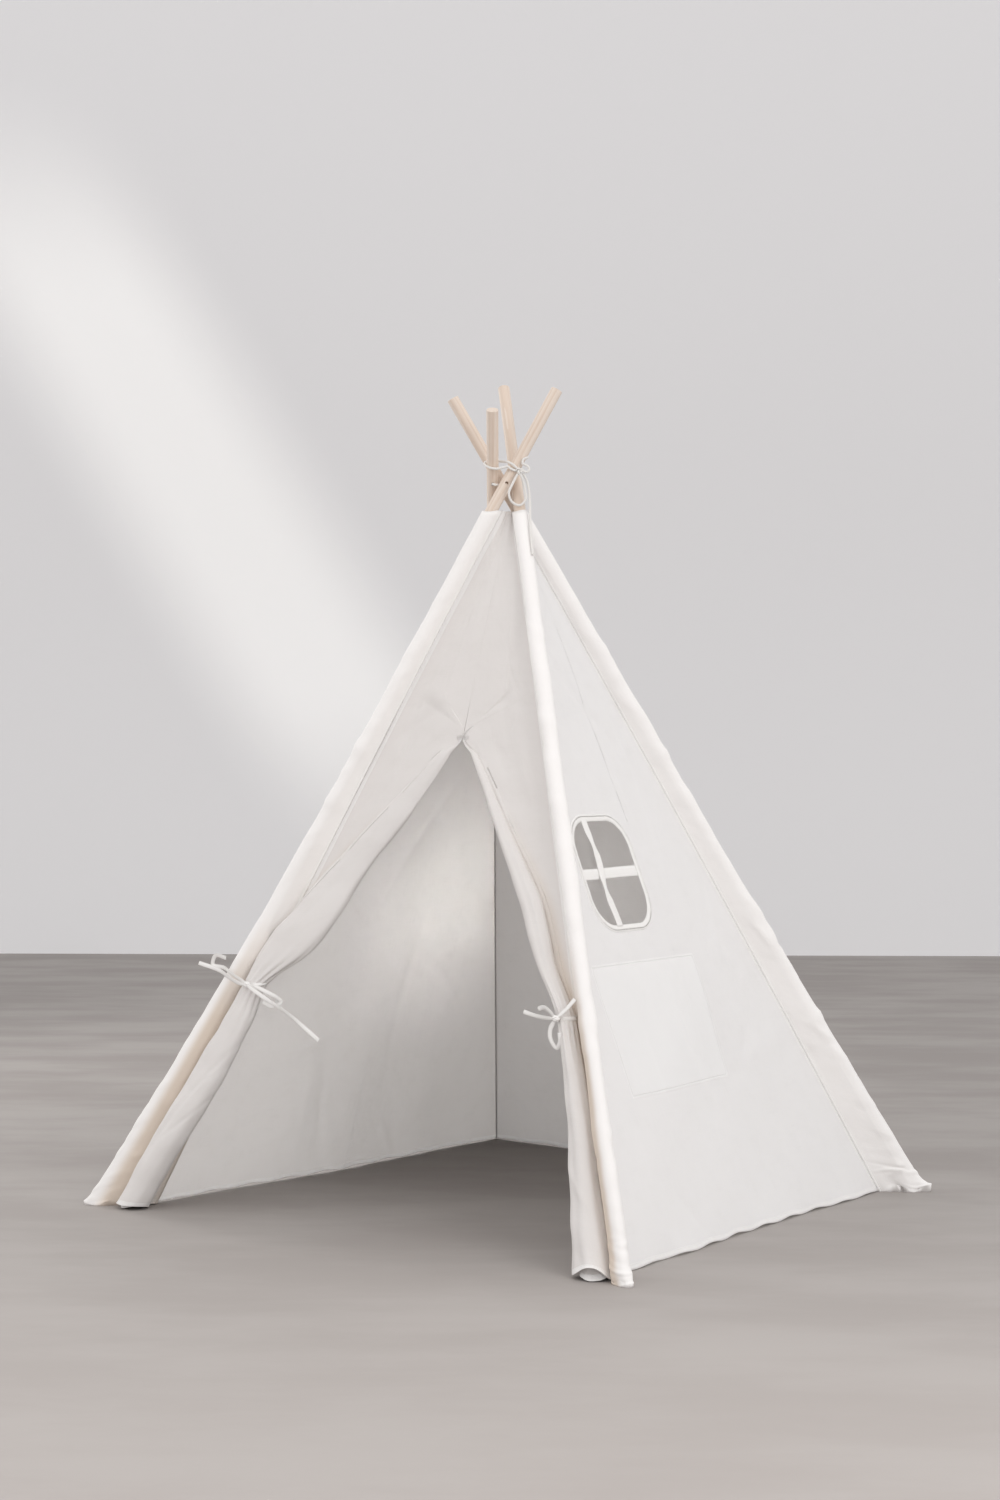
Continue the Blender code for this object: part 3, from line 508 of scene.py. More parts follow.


# cloth: weave on the piece's own cloth coordinates, sewn edges, and painted shade at the edges and in the
# door's grooves where the marks say
def clothFinish(name, colour, shade, glow, stitchAt, paintedEdgeShadeShare, pitch=0.0009, bump=0.6, pocketBehind=False):
    finish, made, shader = newFinish(name)
    where = made.onCloth()
    tint, threads = made.group("weave", {"Vector": where, "Pitch": pitch})[:2]
    body = made.mixColour(made.between(tint, *cottonLook["shadeAt"]), shade, colour)
    rumple = made.times(made.noise(where, cottonLook["rumples"], 3.0, 0.5), cottonLook["rumple"])
    height = made.plus(made.times(threads, cottonLook["threads"]), rumple)
    gap = made.mark("edgeGap")
    thread, relief, double = made.group("edge", {"Gap": gap, "Run": made.mark("edgeRun"),
                                                 "Stitch at": stitchAt, "Pitch": hem["pitch"]})[:3]
    height = made.plus(height, made.times(relief, hem["height"]))
    body = made.mixColour(made.times(double, hem["doubleShare"]), body, hem["double"])
    body = made.mixColour(made.times(thread, hem["cottonShare"]), body, hem["cotton"])
    # painted shade: the colour darkens close to seams, hems and edges
    near = made.beyond(gap, *cottonLook["edge"])
    body = made.mixColour(made.times(near, paintedEdgeShadeShare), body, cottonLook["paintedEdgeShadeColour"])
    # painted shade: the grooves beside the door flaps turn tan
    body = made.mixColour(made.mark("paintedGrooveShade"), body, cottonLook["tan"])
    if pocketBehind:  # makes the cloth two layers there, with its seam showing through
        inside, edge = made.mark("pocketGap"), cottonLook["doubleAt"]
        double = made.between(inside, -edge, edge)
        body = made.mixColour(made.times(double, cottonLook["doubleShare"]), body, cottonLook["double"])
        away = made.calc("ABSOLUTE", made.minus(inside, cottonLook["pocketSeam"]))
        line = made.beyond(away, *cottonLook["pocketSeamLine"])
        shown = made.times(line, cottonLook["pocketSeamShare"])
        body = made.mixColour(shown, body, cottonLook["pocketSeamShade"])
        height = made.plus(height, made.times(double, cottonLook["doubleRise"]))
        height = made.minus(height, made.times(line, cottonLook["pocketSeamDip"]))
    made.dress(shader, body, {"Roughness": 0.88, "Specular IOR Level": 0.2, "Sheen Weight": 0.12,
                              "Sheen Roughness": 0.5}, height, bump)
    if glow:  # light that comes through thin cotton
        made.put(shader, {"Subsurface Weight": glow, "Subsurface Radius": (1.0, 0.98, 0.95),
                          "Subsurface Scale": 0.005})
    return finish


cotton = {name: clothFinish(name, **kind) for name, kind in cottonKinds.items()}
strands = {"around": 3, "pitch": 0.0034, "dark": (0.72, 0.70, 0.67), "pale": (0.92, 0.91, 0.89)}


# cord: twisted strands wound both ways round it on its own coordinates, u around and v along, darker
# between the strands as painted shade
def cordFinish():
    finish, made, shader = newFinish("cottonCord")
    where = made.onCloth()
    around, along, _ = made.split(where)
    turn = made.times(around, 2 * math.pi * strands["around"])
    rise = made.times(along, 2 * math.pi / strands["pitch"])
    strand = [made.calc("SINE", made.calc(way, turn, rise)) for way in ("ADD", "SUBTRACT")]
    braid = made.calc("MAXIMUM", *strand)
    fuzz = made.noise(made.stretched(where, (8.0, 900.0, 1.0)), 1.0, 3.0)
    # painted shade between the strands
    body = made.mixColour(made.between(braid, -0.4, 0.9), strands["dark"], strands["pale"])
    height = made.plus(made.times(braid, 0.00035), made.times(fuzz, 0.0002))
    made.dress(shader, body, {"Roughness": 0.85, "Sheen Weight": 0.2}, height, 0.7)
    return finish


# pine on one pole: the pattern is turned to stand along the pole
def pineFinish(corner, seed):
    finish, made, shader = newFinish("pine_" + corner)
    along = Vector(hingeOf(corner) - footOf(corner)).normalized()
    turn = along.rotation_difference(Vector((0, 0, 1))).to_matrix()
    turn = Matrix.Rotation(seed, 3, "Z") @ turn
    place = turn @ Vector(hingeOf(corner))
    into = pine["intoGrain"]
    shift = (into * math.cos(seed) - place.x, into * math.sin(seed) - place.y, seed - place.z)
    onGrain = made.add("ShaderNodeMapping", {"Vector": made.onObject(), "Rotation": turn.to_euler("XYZ"),
                                             "Location": shift}).outputs[0]
    rings, fibres, knots = made.group("grain", {"Vector": onGrain})[:3]
    body = made.mixColour(made.between(rings, *pine["ringAt"]), pine["pale"], pine["ring"])
    body = made.mixColour(made.times(fibres, pine["fibreShare"]), body, pine["fibre"])
    body = made.mixColour(made.times(knots, pine["knotShare"]), body, pine["knot"])
    high, low = pine["relief"]
    height = made.plus(made.times(rings, high), made.times(fibres, low))
    made.dress(shader, body, {"Roughness": made.between(fibres, -1.2, 1.9), "Specular IOR Level": 0.35},
               height, 0.6)
    return finish


zinc = {"base": (0.60, 0.61, 0.62), "scuffed": (0.72, 0.73, 0.74), "spangle": 160.0, "scuffs": 90.0}


# steel: crystals of zinc with paler scuffs
def steelFinish():
    finish, made, shader = newFinish("galvanisedSteel")
    where = made.onObject()
    spangle = made.add("ShaderNodeTexVoronoi", {"Vector": where, "Scale": zinc["spangle"]}).outputs[1]
    scuff = made.noise(where, zinc["scuffs"], 4.0)
    body = made.mixColour(0.35, zinc["base"], spangle, "OVERLAY")
    body = made.mixColour(made.times(scuff, 0.4), body, zinc["scuffed"])
    made.dress(shader, body, {"Roughness": made.between(scuff, -0.6, 1.4), "Metallic": 1.0})
    return finish


cordCotton = cordFinish()
steel = steelFinish()
for number, corner in enumerate(poles):
    wood = pineFinish(corner, 0.7 + 1.3 * number)
    for name in (f"pole_{corner}_lower", f"pole_{corner}_upper"):
        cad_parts[name].material_slots[0].material = wood
    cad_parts[f"ferrule_{corner}"].material_slots[0].material = steel
print("finishes made")

# Camera, at the photograph's angle
camera = {
    "place": (3.0098, -3.7921, 0.8839),
    "heading": 0.6842,
    "tilt": -0.0042,
    "roll": 0.0026,
    "lens": 57.57,
}


def addCamera():
    heading, tilt, roll = camera["heading"], camera["tilt"], camera["roll"]
    back = Vector((math.sin(heading) * math.cos(tilt), -math.cos(heading) * math.cos(tilt), math.sin(tilt)))
    right = Vector((math.cos(heading), math.sin(heading), 0.0))
    up = back.cross(right)
    across = math.cos(roll) * right + math.sin(roll) * up
    above = math.cos(roll) * up - math.sin(roll) * right
    eye = bpy.data.objects.new("camera", bpy.data.cameras.new("camera"))
    bpy.context.scene.collection.objects.link(eye)
    eye.data.lens = camera["lens"]
    eye.data.sensor_width = 36.0
    eye.data.clip_end = 100.0
    turn = Matrix((across, above, back)).transposed().to_4x4()
    eye.matrix_world = Matrix.Translation(camera["place"]) @ turn
    bpy.context.scene.camera = eye


addCamera()
print("camera placed")

# The cord at the crossing
cord = {
    "diameter": 0.005,
    "step": 0.0022,
    "unit": 0.024,  # a pole's diameter, in which all places are given from the crossing's middle
    "knot": (1.9542, -0.4708, 0.9958),
    "knotSize": 0.0021,
    "knotHeading": 52.0,
    "knotCord": 0.86,  # its diameter as a share of the cord's, pulled tight
    "routes": {
        "cord_wrap": (
            (1.7208, -0.7000, 1.0125), (1.4333, -0.9333, 1.1583), (1.1708, -0.9792, 1.3542),
            (0.8833, -1.3500, 1.2708), (0.5208, -1.7000, 1.1667), (0.0375, -1.9042, 1.2500),
            (-0.6833, -1.8625, 1.6042), (-0.9750, -1.3875, 1.8542), (-0.9917, -0.9167, 2.0125),
            (-0.6292, -0.5667, 2.0500), (-0.0917, -0.5583, 1.9583), (0.5250, -0.8083, 1.8542),
            (1.0750, -0.9250, 1.7667), (1.5167, -0.8250, 1.5375), (1.7958, -0.6333, 1.2333)),
        "cord_lacing": (
            (-0.7792, -0.6583, 0.0), (-0.5792, -0.8958, 0.0), (-0.3667, -1.1458, 0.0),
            (-0.2083, -1.3125, -0.0417), (-0.0417, -1.2500, -0.0833), (-0.0083, -0.9167, -0.0833),
            (-0.0167, -0.5000, -0.0417), (0.0, -0.1667, 0.0), (0.1042, 0.1417, 0.0),
            (0.2292, 0.3083, 0.0), (0.4167, 0.5625, 0.0), (0.6083, 0.8208, 0.0)),
        "cord_small_loop": (
            (2.2417, -0.3083, 0.9875), (2.5000, -0.1250, 0.8958), (2.6042, 0.0208, 1.1250),
            (2.4500, -0.1000, 1.4417), (2.1625, -0.3042, 1.6125), (2.1625, -0.2250, 1.9542),
            (2.4542, 0.0667, 2.1542)),
        "cord_large_loop": (
            (1.8667, -0.6292, 0.7208), (1.6375, -0.9750, -0.0750), (1.4458, -1.2417, -0.9625),
            (1.6417, -1.0292, -1.6417), (2.0792, -0.5625, -1.8833), (2.3750, -0.2125, -1.4792),
            (2.2958, -0.1708, -0.5083), (2.1542, -0.3125, 0.2833), (2.0708, -0.4542, 0.6875)),
        "cord_tail": (
            (2.1000, -0.2000, 0.8125), (2.3208, 0.0125, 0.2583), (2.5042, 0.1083, -0.5833),
            (2.7542, -0.0667, -1.8667), (3.0333, -0.3750, -2.9958), (3.5750, -0.9542, -4.4875),
            (4.2500, -1.5333, -6.2208)),
    },
    "ends": {"cord_wrap": "knot", "cord_lacing": "object", "cord_small_loop": "bare",
             "cord_large_loop": "knot", "cord_tail": "bare"},
}


# a tube on a line, drawn shut by two rings at each end, u once around and v in metres along
def addTube(name, line, diameter, ends=True):
    reach = lengthAlong(line)
    radius = np.full(len(line), diameter / 2)
    if ends:
        lead, tail = unit(line[0] - line[1]), unit(line[-1] - line[-2])
        far, near = diameter * 0.12, diameter * 0.08
        line = np.vstack([line[0] + lead * far, line[0] + lead * near, line,
                          line[-1] + tail * near, line[-1] + tail * far])
        radius = np.concatenate([[1e-5, diameter * 0.40], radius, [diameter * 0.40, 1e-5]])
        reach = np.concatenate([[-0.001, -0.0004], reach, [reach[-1] + 0.0004, reach[-1] + 0.001]])
    grid = tubeGrid(line, radius)
    return makePiece(name, grid, cordCotton, pairs(np.linspace(0, 1, grid.shape[1]), reach[:, None]))


# each cord is a tube on a smooth curve through its route's points
def addCords():
    middle = np.array(teepee["crossing"])
    for name, route in cord["routes"].items():
        line = smoothLine(middle + np.array(route) * cord["unit"], cord["step"])
        piece = addTube(name + "_soft", line, cord["diameter"])
        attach(piece, "crown")
        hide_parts(name)


# the knot: a trefoil line, sin t + 2 sin 2t across, cos t - 2 cos 2t up, -1.5 sin 3t out
def addKnot():
    t = np.linspace(0, 2 * math.pi, 73)
    across, out, up = np.sin(t) + 2 * np.sin(2 * t), -1.5 * np.sin(3 * t), np.cos(t) - 2 * np.cos(2 * t)
    heading = math.radians(cord["knotHeading"])
    turned = np.column_stack([across * math.cos(heading) - out * math.sin(heading),
                              across * math.sin(heading) + out * math.cos(heading), up])
    middle = np.array(teepee["crossing"]) + np.array(cord["knot"]) * cord["unit"]
    line, diameter = middle + turned * cord["knotSize"], cord["diameter"] * cord["knotCord"]
    knot = addTube("cord_knot_soft", line, diameter, ends=False)
    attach(knot, "crown")
    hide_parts("cord_knot")


addCords()
addKnot()
print("cord tied")

# Sleeves on the poles
sleeve = {
    "radius": 0.0148,
    "leaves": 52.0,  # the pole, at so many degrees from its inward side
    "tip": 0.0028,  # width of the seam
    "lip": (0, 0.0012, 0.0024, 0.0032, 0.004, 0.0048, 0.0058, 0.0070),  # columns close to the seam
    "shortFlank": 0.024,  # below this the lip's columns draw together
    "flankColumns": 11,
    "arcColumns": 43,
    "flareTop": 0.90,
    "wrinkle": {"front_left": 1.0, "front_right": 0.8, "back_right": 1.6, "back_left": 1.0},
    "footCreases": {"height": 0.0036, "count": 46, "box": (-0.05, 0.05, 0.0, 0.42),
                    "width": 0.006, "reach": 0.040, "lean": 0.0, "spread": 0.35},
    "creases": {"height": 0.0022, "count": 60, "box": (-0.04, 0.04, 0.0, 1.38),
                "width": 0.010, "reach": 0.060, "lean": 0.0, "spread": 0.9},
    "footFade": 0.16,  # the height in which the foot's creases fade
    "waves": (0.0007, 0.16),
    "gather": (0.0034, 0.016, 0.0072),  # at the foot: height, what it fades in, length
    "deepest": 0.0009,  # a wrinkle goes no deeper, so that it clears the pole
    "free": (0.003, 0.014),  # how far from the seam wrinkles begin, and are whole
    "topFree": 0.010,
    "welt": (0.0012, 0.004, 0.0015),  # the seam's ridge: height, place, width
    "topHem": (0.0022, 0.0085, 0.012),  # waves of the hems: height, length, what they fade in
    "footHem": (0.0045, 0.011, 0.020),
    "cap": ((0.02, 0.0009), (0.35, 0.0008), (0.75, 0.0006), (0.96, 0.0005)),  # share, height
    "thickness": 0.0009,
    "doorSide": {"front_left": -1, "front_right": 1},
    # painted shade on the sleeve's flank that faces the doorway: strength, reach round the sleeve, heights
    # it fades over
    "tan": 0.9,
    "tanAround": (0.68, 0.90),  # as shares of the way from the seam to the outer side
    "tanTop": (0.66, 0.24),
    "slack": 0.31,  # least mean width as a share of the foot's
}


# outline round the pole at each height: straight from the seam to the pole, round it and back
def sleeveOutline(corner, heights, lean):
    radius, depth = sleeve["radius"], seamDepth(corner, heights)
    first = np.maximum(math.radians(sleeve["leaves"]), np.arccos(radius / depth))
    seam = pairs(depth, sleeve["tip"] / 2)
    touch = pairs(radius * np.cos(first) / math.cos(lean), radius * np.sin(first))
    long = np.linalg.norm(touch - seam, axis=-1)[:, None]
    lip = np.array(sleeve["lip"])
    near = np.where(long < sleeve["shortFlank"], np.minimum(lip, long * 0.3 * lip / lip[-1]), lip)
    onward = near[:, -1:] + (long - near[:, -1:]) * np.linspace(0, 1, sleeve["flankColumns"] + 1)[1:]
    steps = np.concatenate([near, onward], axis=1) / long
    flank = seam[:, None] + (touch - seam)[:, None] * steps[..., None]
    part = np.linspace(0, 1, sleeve["arcColumns"] + 2)[1:-1]
    turn = first[:, None] + (2 * math.pi - 2 * first[:, None]) * part
    flare = poles[corner]["toe"] * np.maximum(0, 1 - heights[:, None] / sleeve["flareTop"]) ** 2
    outward = radius * np.cos(turn) / math.cos(lean) + flare * np.minimum(0, np.cos(turn))
    arc = pairs(outward, radius * np.sin(turn))
    end = seam[:, None] * [1, 0]
    return np.concatenate([end, flank, arc, (flank * [1, -1])[:, ::-1], end], axis=1)


# the outline pushed out along its own normal by wrinkles that lie across the pole near the foot
def sleeveGrid(corner):
    heights = np.concatenate([[teepee["hem"] * 0.3, teepee["hem"]], np.geomspace(0.004, 0.30, 110),
                              np.linspace(0.306, teepee["top"] - 0.001, 118)])
    lean = math.atan2(np.linalg.norm((hingeOf(corner) - footOf(corner))[:2]), teepee["crossing"][2])
    outline = sleeveOutline(corner, heights, lean)
    run = lengthAlong(outline)
    whole = run[:, -1:]
    gap = np.minimum(run, whole - run)
    ahead = np.gradient(outline, axis=1)
    normal = unit(pairs(ahead[..., 1], -ahead[..., 0]))
    inside = outline.mean(axis=1, keepdims=True) - outline
    normal *= -np.sign((normal * inside).sum(axis=-1, keepdims=True) + 1e-12)
    z = heights[:, None] / math.cos(lean)
    down = teepee["top"] - heights[:, None]
    across = run - whole / 2
    seed = sum(ord(letter) for letter in corner)
    size = sleeve["wrinkle"][corner]
    free = ease(gap, *sleeve["free"])
    wrinkle = size * np.exp(-z / sleeve["footFade"]) * creases(across, z, seed, sleeve["footCreases"])
    wrinkle += size * creases(across, z, seed + 1, sleeve["creases"])
    high, length = sleeve["waves"]
    wrinkle += high * softWaves(across, z, seed + 2, length)
    high, fade, length = sleeve["gather"]
    wrinkle += high * np.exp(-z / fade) * np.sin(across / length + seed)
    push = np.maximum(wrinkle * free * np.clip(down / sleeve["topFree"], 0, 1), -sleeve["deepest"])
    high, place, wide = sleeve["welt"]
    push = push + high * bell(gap - place, wide)
    outline = outline + normal * push[..., None]
    places = onPole(corner, heights)[:, None] - outOf(corner) * outline[..., :1]
    places = places + besideOf(corner) * outline[..., 1:]
    high, length, fade = sleeve["topHem"]
    lift = high * np.sin(across / length + seed) * np.exp(-down / fade)
    high, length, fade = sleeve["footHem"]
    lift = lift + high * size * np.exp(-z / fade) * (1 + np.sin(across / length + seed))
    places[..., 2] += lift * free  # the hems wave
    # painted tan shade on the flank that faces the doorway, low down
    top, fade = sleeve["tanTop"]
    paintedGrooveShade = sleeve["tan"] * (1 - ease(2 * gap / whole, *sleeve["tanAround"]))
    paintedGrooveShade = paintedGrooveShade * np.clip((top - z) / fade, 0, 1) * (across * sleeve["doorSide"].get(corner, 0) > 0)
    return places, pairs(across, z), {"edgeGap": gap, "edgeRun": z + 0 * gap, "paintedGrooveShade": paintedGrooveShade}


def addSleeve(corner):
    places, uv, marks = sleeveGrid(corner)
    middle = places[0].mean(axis=0)
    shares, rises = np.array(sleeve["cap"]).T
    cap = np.stack([middle + (places[0] - middle) * share for share in shares])  # closes the foot
    cap[..., 2] = rises[:, None]
    places = np.concatenate([cap, places])
    onCap = np.maximum(np.arange(-len(cap), len(uv)), 0)  # the cap takes what the first row has
    uv, marks = uv[onCap], {mark: values[onCap] for mark, values in marks.items()}
    piece = makePiece("sleeve_" + corner + "_soft", places, cotton["canvasSleeve"], uv, marks)
    thicken(piece, sleeve["thickness"], -1.0)
    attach(piece, "leg_" + corner)
    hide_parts("sleeve_" + corner)


for corner in poles:
    addSleeve(corner)
print("sleeves on the poles")

# Back, left and right panels
cloth = {
    "thickness": 0.0008,
    "billow": 0.010,
    "fold": 0.006,
    "footHem": (0.0022, 0.02, 60),  # waves of the hems: height, what they fade in, how close
    "topHem": (0.003, 0.012, 9),
    "slant": 1.07,  # metres of cloth for a metre of height
    "waves": (0.0030, 0.34),
    "creases": {"height": 0.0036, "count": 46, "box": (-0.5, 0.5, 0.0, 1.2),
                "width": 0.018, "reach": 0.15, "lean": 0.5, "spread": 0.8},
    "windowWaves": (0.0024, 0.30),
    "windowCreases": {"height": 0.0034, "count": 46, "box": (-0.5, 0.5, 0.0, 1.2),
                      "width": 0.016, "reach": 0.13, "lean": 1.35, "spread": 0.55},
    "fanStart": 0.08,
    "calmRound": (0.13, 0.30),  # the window, in which the cloth comes to wave freely
    "leastCreased": 0.25,  # share of the creases that is left beside the window
    # short pulls below the window: height, where, how far up and down, how wide, length, lean
    "pulls": (0.0016, 0.50, 0.10, 0.11, 0.012, 12),
    "pullsBelow": (0.10, 0.03),
    # the ruffled foot hem: height, what it fades in; its two waves; where the first is full, its fade
    "ruffle": (0.006, 0.035),
    "ruffleWaves": ((1.1, 46), (0.5, 21)),
    "ruffleFrom": (0.54, 0.20),
    "hemRows": (0.10, 26),
    "rows": 145,
    "columns": 90,  # in each half
    "closing": 0.25,  # share of even steps; the rest close up towards the fold line
    "lap": 0.0016,  # past the seam
    "seeds": {"back": 11, "left": 23, "right": 37},
}
window = {
    "width": 0.195, "rise": 0.196, "corner": 0.055, "height": 0.669, "fromMiddle": -0.101,
    "binding": 0.012, "bindingThickness": 0.0040, "tape": 0.020, "tapeThickness": 0.00098,
    "wave": 0.004, "uprightAt": -0.036, "cut": 0.034,
}
pocket = {
    "width": 0.375, "bottom": 0.270, "top": 0.505, "fromMiddle": -0.090, "thickness": 0.0009,
    "behind": 0.0006,  # the wall's cloth
    "gape": 0.030, "wavy": (0.05, 7), "seed": 71,
    "creases": {"height": 0.0012, "count": 14, "box": (-0.28, 0.10, 0.27, 0.5),
                "width": 0.010, "reach": 0.07, "lean": 1.4, "spread": 0.5},
}


# how far a plain wall hangs in or out: a sag, three upright folds, then waves and soft creases
def backWave(share, height, seed, width):
    low = 1 - height / teepee["top"]
    held = np.sin(math.pi * np.clip(share, 0, 1))
    x, y = (share - 0.5) * width, height * cloth["slant"]
    out = -cloth["billow"] * held * low + cloth["fold"] * low**2 * np.sin(3 * math.pi * share) ** 3
    size, length = cloth["waves"]
    out = out + size * held * low * softWaves(x, y, seed, length)
    return out + held**0.5 * creases(x, y, seed + 1, cloth["creases"])


# the window's wall: little near the window, full folds low down, pulls below it and a ruffled hem
def rightWave(share, height, seed, width):
    near = window["height"] - window["rise"] / 2 - window["binding"]
    calm = np.clip((near - height) / (near / 2), 0, 1) ** 2
    fan = np.sin(3 * math.pi * (share - cloth["fanStart"])) * np.sin(math.pi * share)
    held = np.sin(math.pi * np.clip(share, 0, 1))
    out = calm * (cloth["fold"] * fan - cloth["billow"] / 2 * held)
    x, y = (share - 0.5) * width, height * cloth["slant"]
    beside = x - window["fromMiddle"]
    flat = ease(np.hypot(beside, height - window["height"]), *cloth["calmRound"])
    size, length = cloth["windowWaves"]
    out = out + flat * size * held * softWaves(x, y, seed, length)
    creased = cloth["leastCreased"] + (1 - cloth["leastCreased"]) * flat
    out = out + creased * held**0.5 * creases(x, y, seed + 1, cloth["windowCreases"])
    (size, level, reach, wide, length, lean), (gap, fade) = cloth["pulls"], cloth["pullsBelow"]
    below = np.exp(-np.abs(height - level) / reach) * ease(window["height"] - gap - height, 0, fade)
    out = out + size * below * bell(beside, wide) * np.sin(beside / length + lean * height)
    (first, close), (second, wider) = cloth["ruffleWaves"]
    start, reach = cloth["ruffleFrom"]
    ruffle = first * np.sin(x * close + 1.0) * np.exp(-(x + start) / reach) + second * np.sin(x * wider)
    size, fade = cloth["ruffle"]
    return out + size * np.exp(-height / fade) * held**0.3 * ruffle


# a rounded rectangle by turn, anticlockwise: straight sides and four arcs, then even steps
def windowOutline(grow, count=96):
    corner = window["corner"] + grow
    wide, tall = window["width"] / 2 - window["corner"], window["rise"] / 2 - window["corner"]
    turn = np.linspace(0, 2 * math.pi, count, endpoint=False) + math.pi / count
    points = np.column_stack([np.sign(np.cos(turn)) * wide + corner * np.cos(turn),
                              np.sign(np.sin(turn)) * tall + corner * np.sin(turn)])
    closed = np.vstack([points, points[:1]])
    reach = lengthAlong(closed)
    wanted = np.linspace(0, reach[-1], count * 2, endpoint=False)
    return np.column_stack([np.interp(wanted, reach, closed[:, axis]) for axis in (0, 1)])


# distance outside the window's rounded edge, negative inside it
def windowDistance(along, up):
    x = np.abs(along) - (window["width"] / 2 - window["corner"])
    y = np.abs(up) - (window["rise"] / 2 - window["corner"])
    return np.hypot(np.maximum(x, 0), np.maximum(y, 0)) + np.minimum(np.maximum(x, y), 0) - window["corner"]


# a place by its distances from the window's middle, along the wall, up it and out of it
def inWindow(along, up, out=0.0):
    along, up = np.broadcast_arrays(np.asarray(along, float), np.asarray(up, float))
    height = window["height"] + up
    share = 0.5 + (window["fromMiddle"] + along) / panelWidth("right", height)
    out = np.broadcast_to(out, height.shape)[..., None]
    return onPanel("right", share, height) + panelNormal("right", height) * out, share


# distance inside the pocket's outline, negative outside it
def pocketDistance(along, height):
    side = pocket["width"] / 2 - np.abs(along - pocket["fromMiddle"])
    return np.minimum(side, np.minimum(height - pocket["bottom"], pocket["top"] - height))


# columns of a wall as shares, past both seams by the lap and closer near the fold line: closing x even
# steps + the rest x sine of the steps' quarter turn
def wallShares(spine, width):
    even = np.linspace(0, 1, cloth["columns"])
    fine = cloth["closing"] * even + (1 - cloth["closing"]) * np.sin(even * math.pi / 2)
    fine[-2] = 1 - 0.0006
    shares = np.concatenate([spine * fine, 1 - (1 - spine) * fine[::-1][1:]])
    start, end = -cloth["lap"] / width, 1 + cloth["lap"] / width
    share = start + (end - start) * shares
    share[:, cloth["columns"] - 1] = spine
    return share


# a wall in two halves: shares across by heights up, each point stepped out by the wave
def addWall(panel, wave, finish):
    seed, spine, slope = cloth["seeds"][panel], panels[panel][2], slopeOf(panel)
    foot, rows = cloth["hemRows"]
    heights = np.concatenate([np.linspace(teepee["hem"], foot, rows)[:-1],
                              np.linspace(foot, teepee["top"], cloth["rows"])])[:, None]
    width = panelWidth(panel, heights)
    share = wallShares(spine, width)
    run = (share - 0.5) * width
    places = onPanel(panel, share, heights, wave(share, heights, seed, width))
    held = np.sin(math.pi * np.clip(share, 0, 1)) ** 0.5
    high, fade, close = cloth["footHem"]
    places[..., 2] += high * np.exp(-heights / fade) * (1 + np.sin(run * close + seed)) * held
    high, fade, close = cloth["topHem"]
    places[..., 2] += high * np.exp(-(teepee["top"] - heights) / fade) * np.sin(share * close + seed)
    seamGap = np.minimum(share, 1 - share) * width
    hemGap = heights * slope + 0 * share
    if panel != "right":  # seen from inside, where only the foot hem shows its stitches
        seamGap = seamGap + 1
    marks = {"edgeGap": np.minimum(seamGap, hemGap), "edgeRun": np.where(hemGap < seamGap, run, hemGap)}
    if panel == "right":
        marks["pocketGap"] = pocketDistance(run, heights)
    uv = pairs(run, hemGap)
    fold = cloth["columns"] - 1
    for half, part in enumerate((slice(0, fold + 1), slice(fold, None))):
        grid = places[:, part]
        quads = gridQuads(*grid.shape[:2])
        if panel == "right":  # no faces in the window
            along = run[:, part].reshape(-1)[quads].mean(axis=1) - window["fromMiddle"]
            up = grid[..., 2].reshape(-1)[quads].mean(axis=1) - window["height"]
            quads = quads[windowDistance(along, up) > window["binding"] * 0.45]
        piece = makePiece(f"{panel}_panel_{('start', 'end')[half]}", grid, finish, uv[:, part],
                          {mark: values[:, part] for mark, values in marks.items()}, quads)
        thicken(piece, cloth["thickness"])
        foldWith(piece, panel, half, share[:, part])
        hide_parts(panel + "_panel")


addWall("back", backWave, cotton["canvasWall"])
addWall("left", backWave, cotton["canvasWall"])
addWall("right", rightWave, cotton["canvasWindow"])
print("walls hung")

# Window and pocket
binding = {  # half its section: out past the window's edge, and half thickness as a share
    "side": ((0.0, 0.55), (0.002, 0.95), (0.006, 1.0), (0.0105, 0.92), (0.0122, 0.45)),
    "inner": ((-0.0009, 0.2),),
    "pucker": 0.10,
    "line": 0.0118,
}


# binding: a flattened ring section carried round the window's outline
def addBinding():
    outer = [*binding["side"], *[(grow, -out) for grow, out in binding["side"][::-1]]]
    inner = [(grow, sign * out) for grow, out in binding["inner"] for sign in (-1, 1)]
    section = np.array([outer[-1], *inner, *outer])
    rings = [windowOutline(grow) for grow in section[:, 0]]
    pucker = 1 + binding["pucker"] * np.sin(np.arange(len(rings[0])) * 0.83)
    half = window["bindingThickness"] / 2
    made = [inWindow(*ring.T, out * half * pucker) for ring, out in zip(rings, section[:, 1])]
    places, shares = [np.stack(part, axis=1) for part in zip(*made)]
    places, shares = np.concatenate([places, places[:1]]), np.concatenate([shares, shares[:1]])
    run = lengthAlong(places[:, 5])[:, None]
    gap = 0.004 + np.abs(section[:, 0] - binding["line"])
    uv = pairs(lengthAlong(places[0]), run)
    piece = makePiece("window_binding_soft", places, cotton["cottonTape"], uv,
                      {"edgeGap": gap, "edgeRun": run})
    foldWith(piece, "right", 0, shares)
    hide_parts("window_binding")


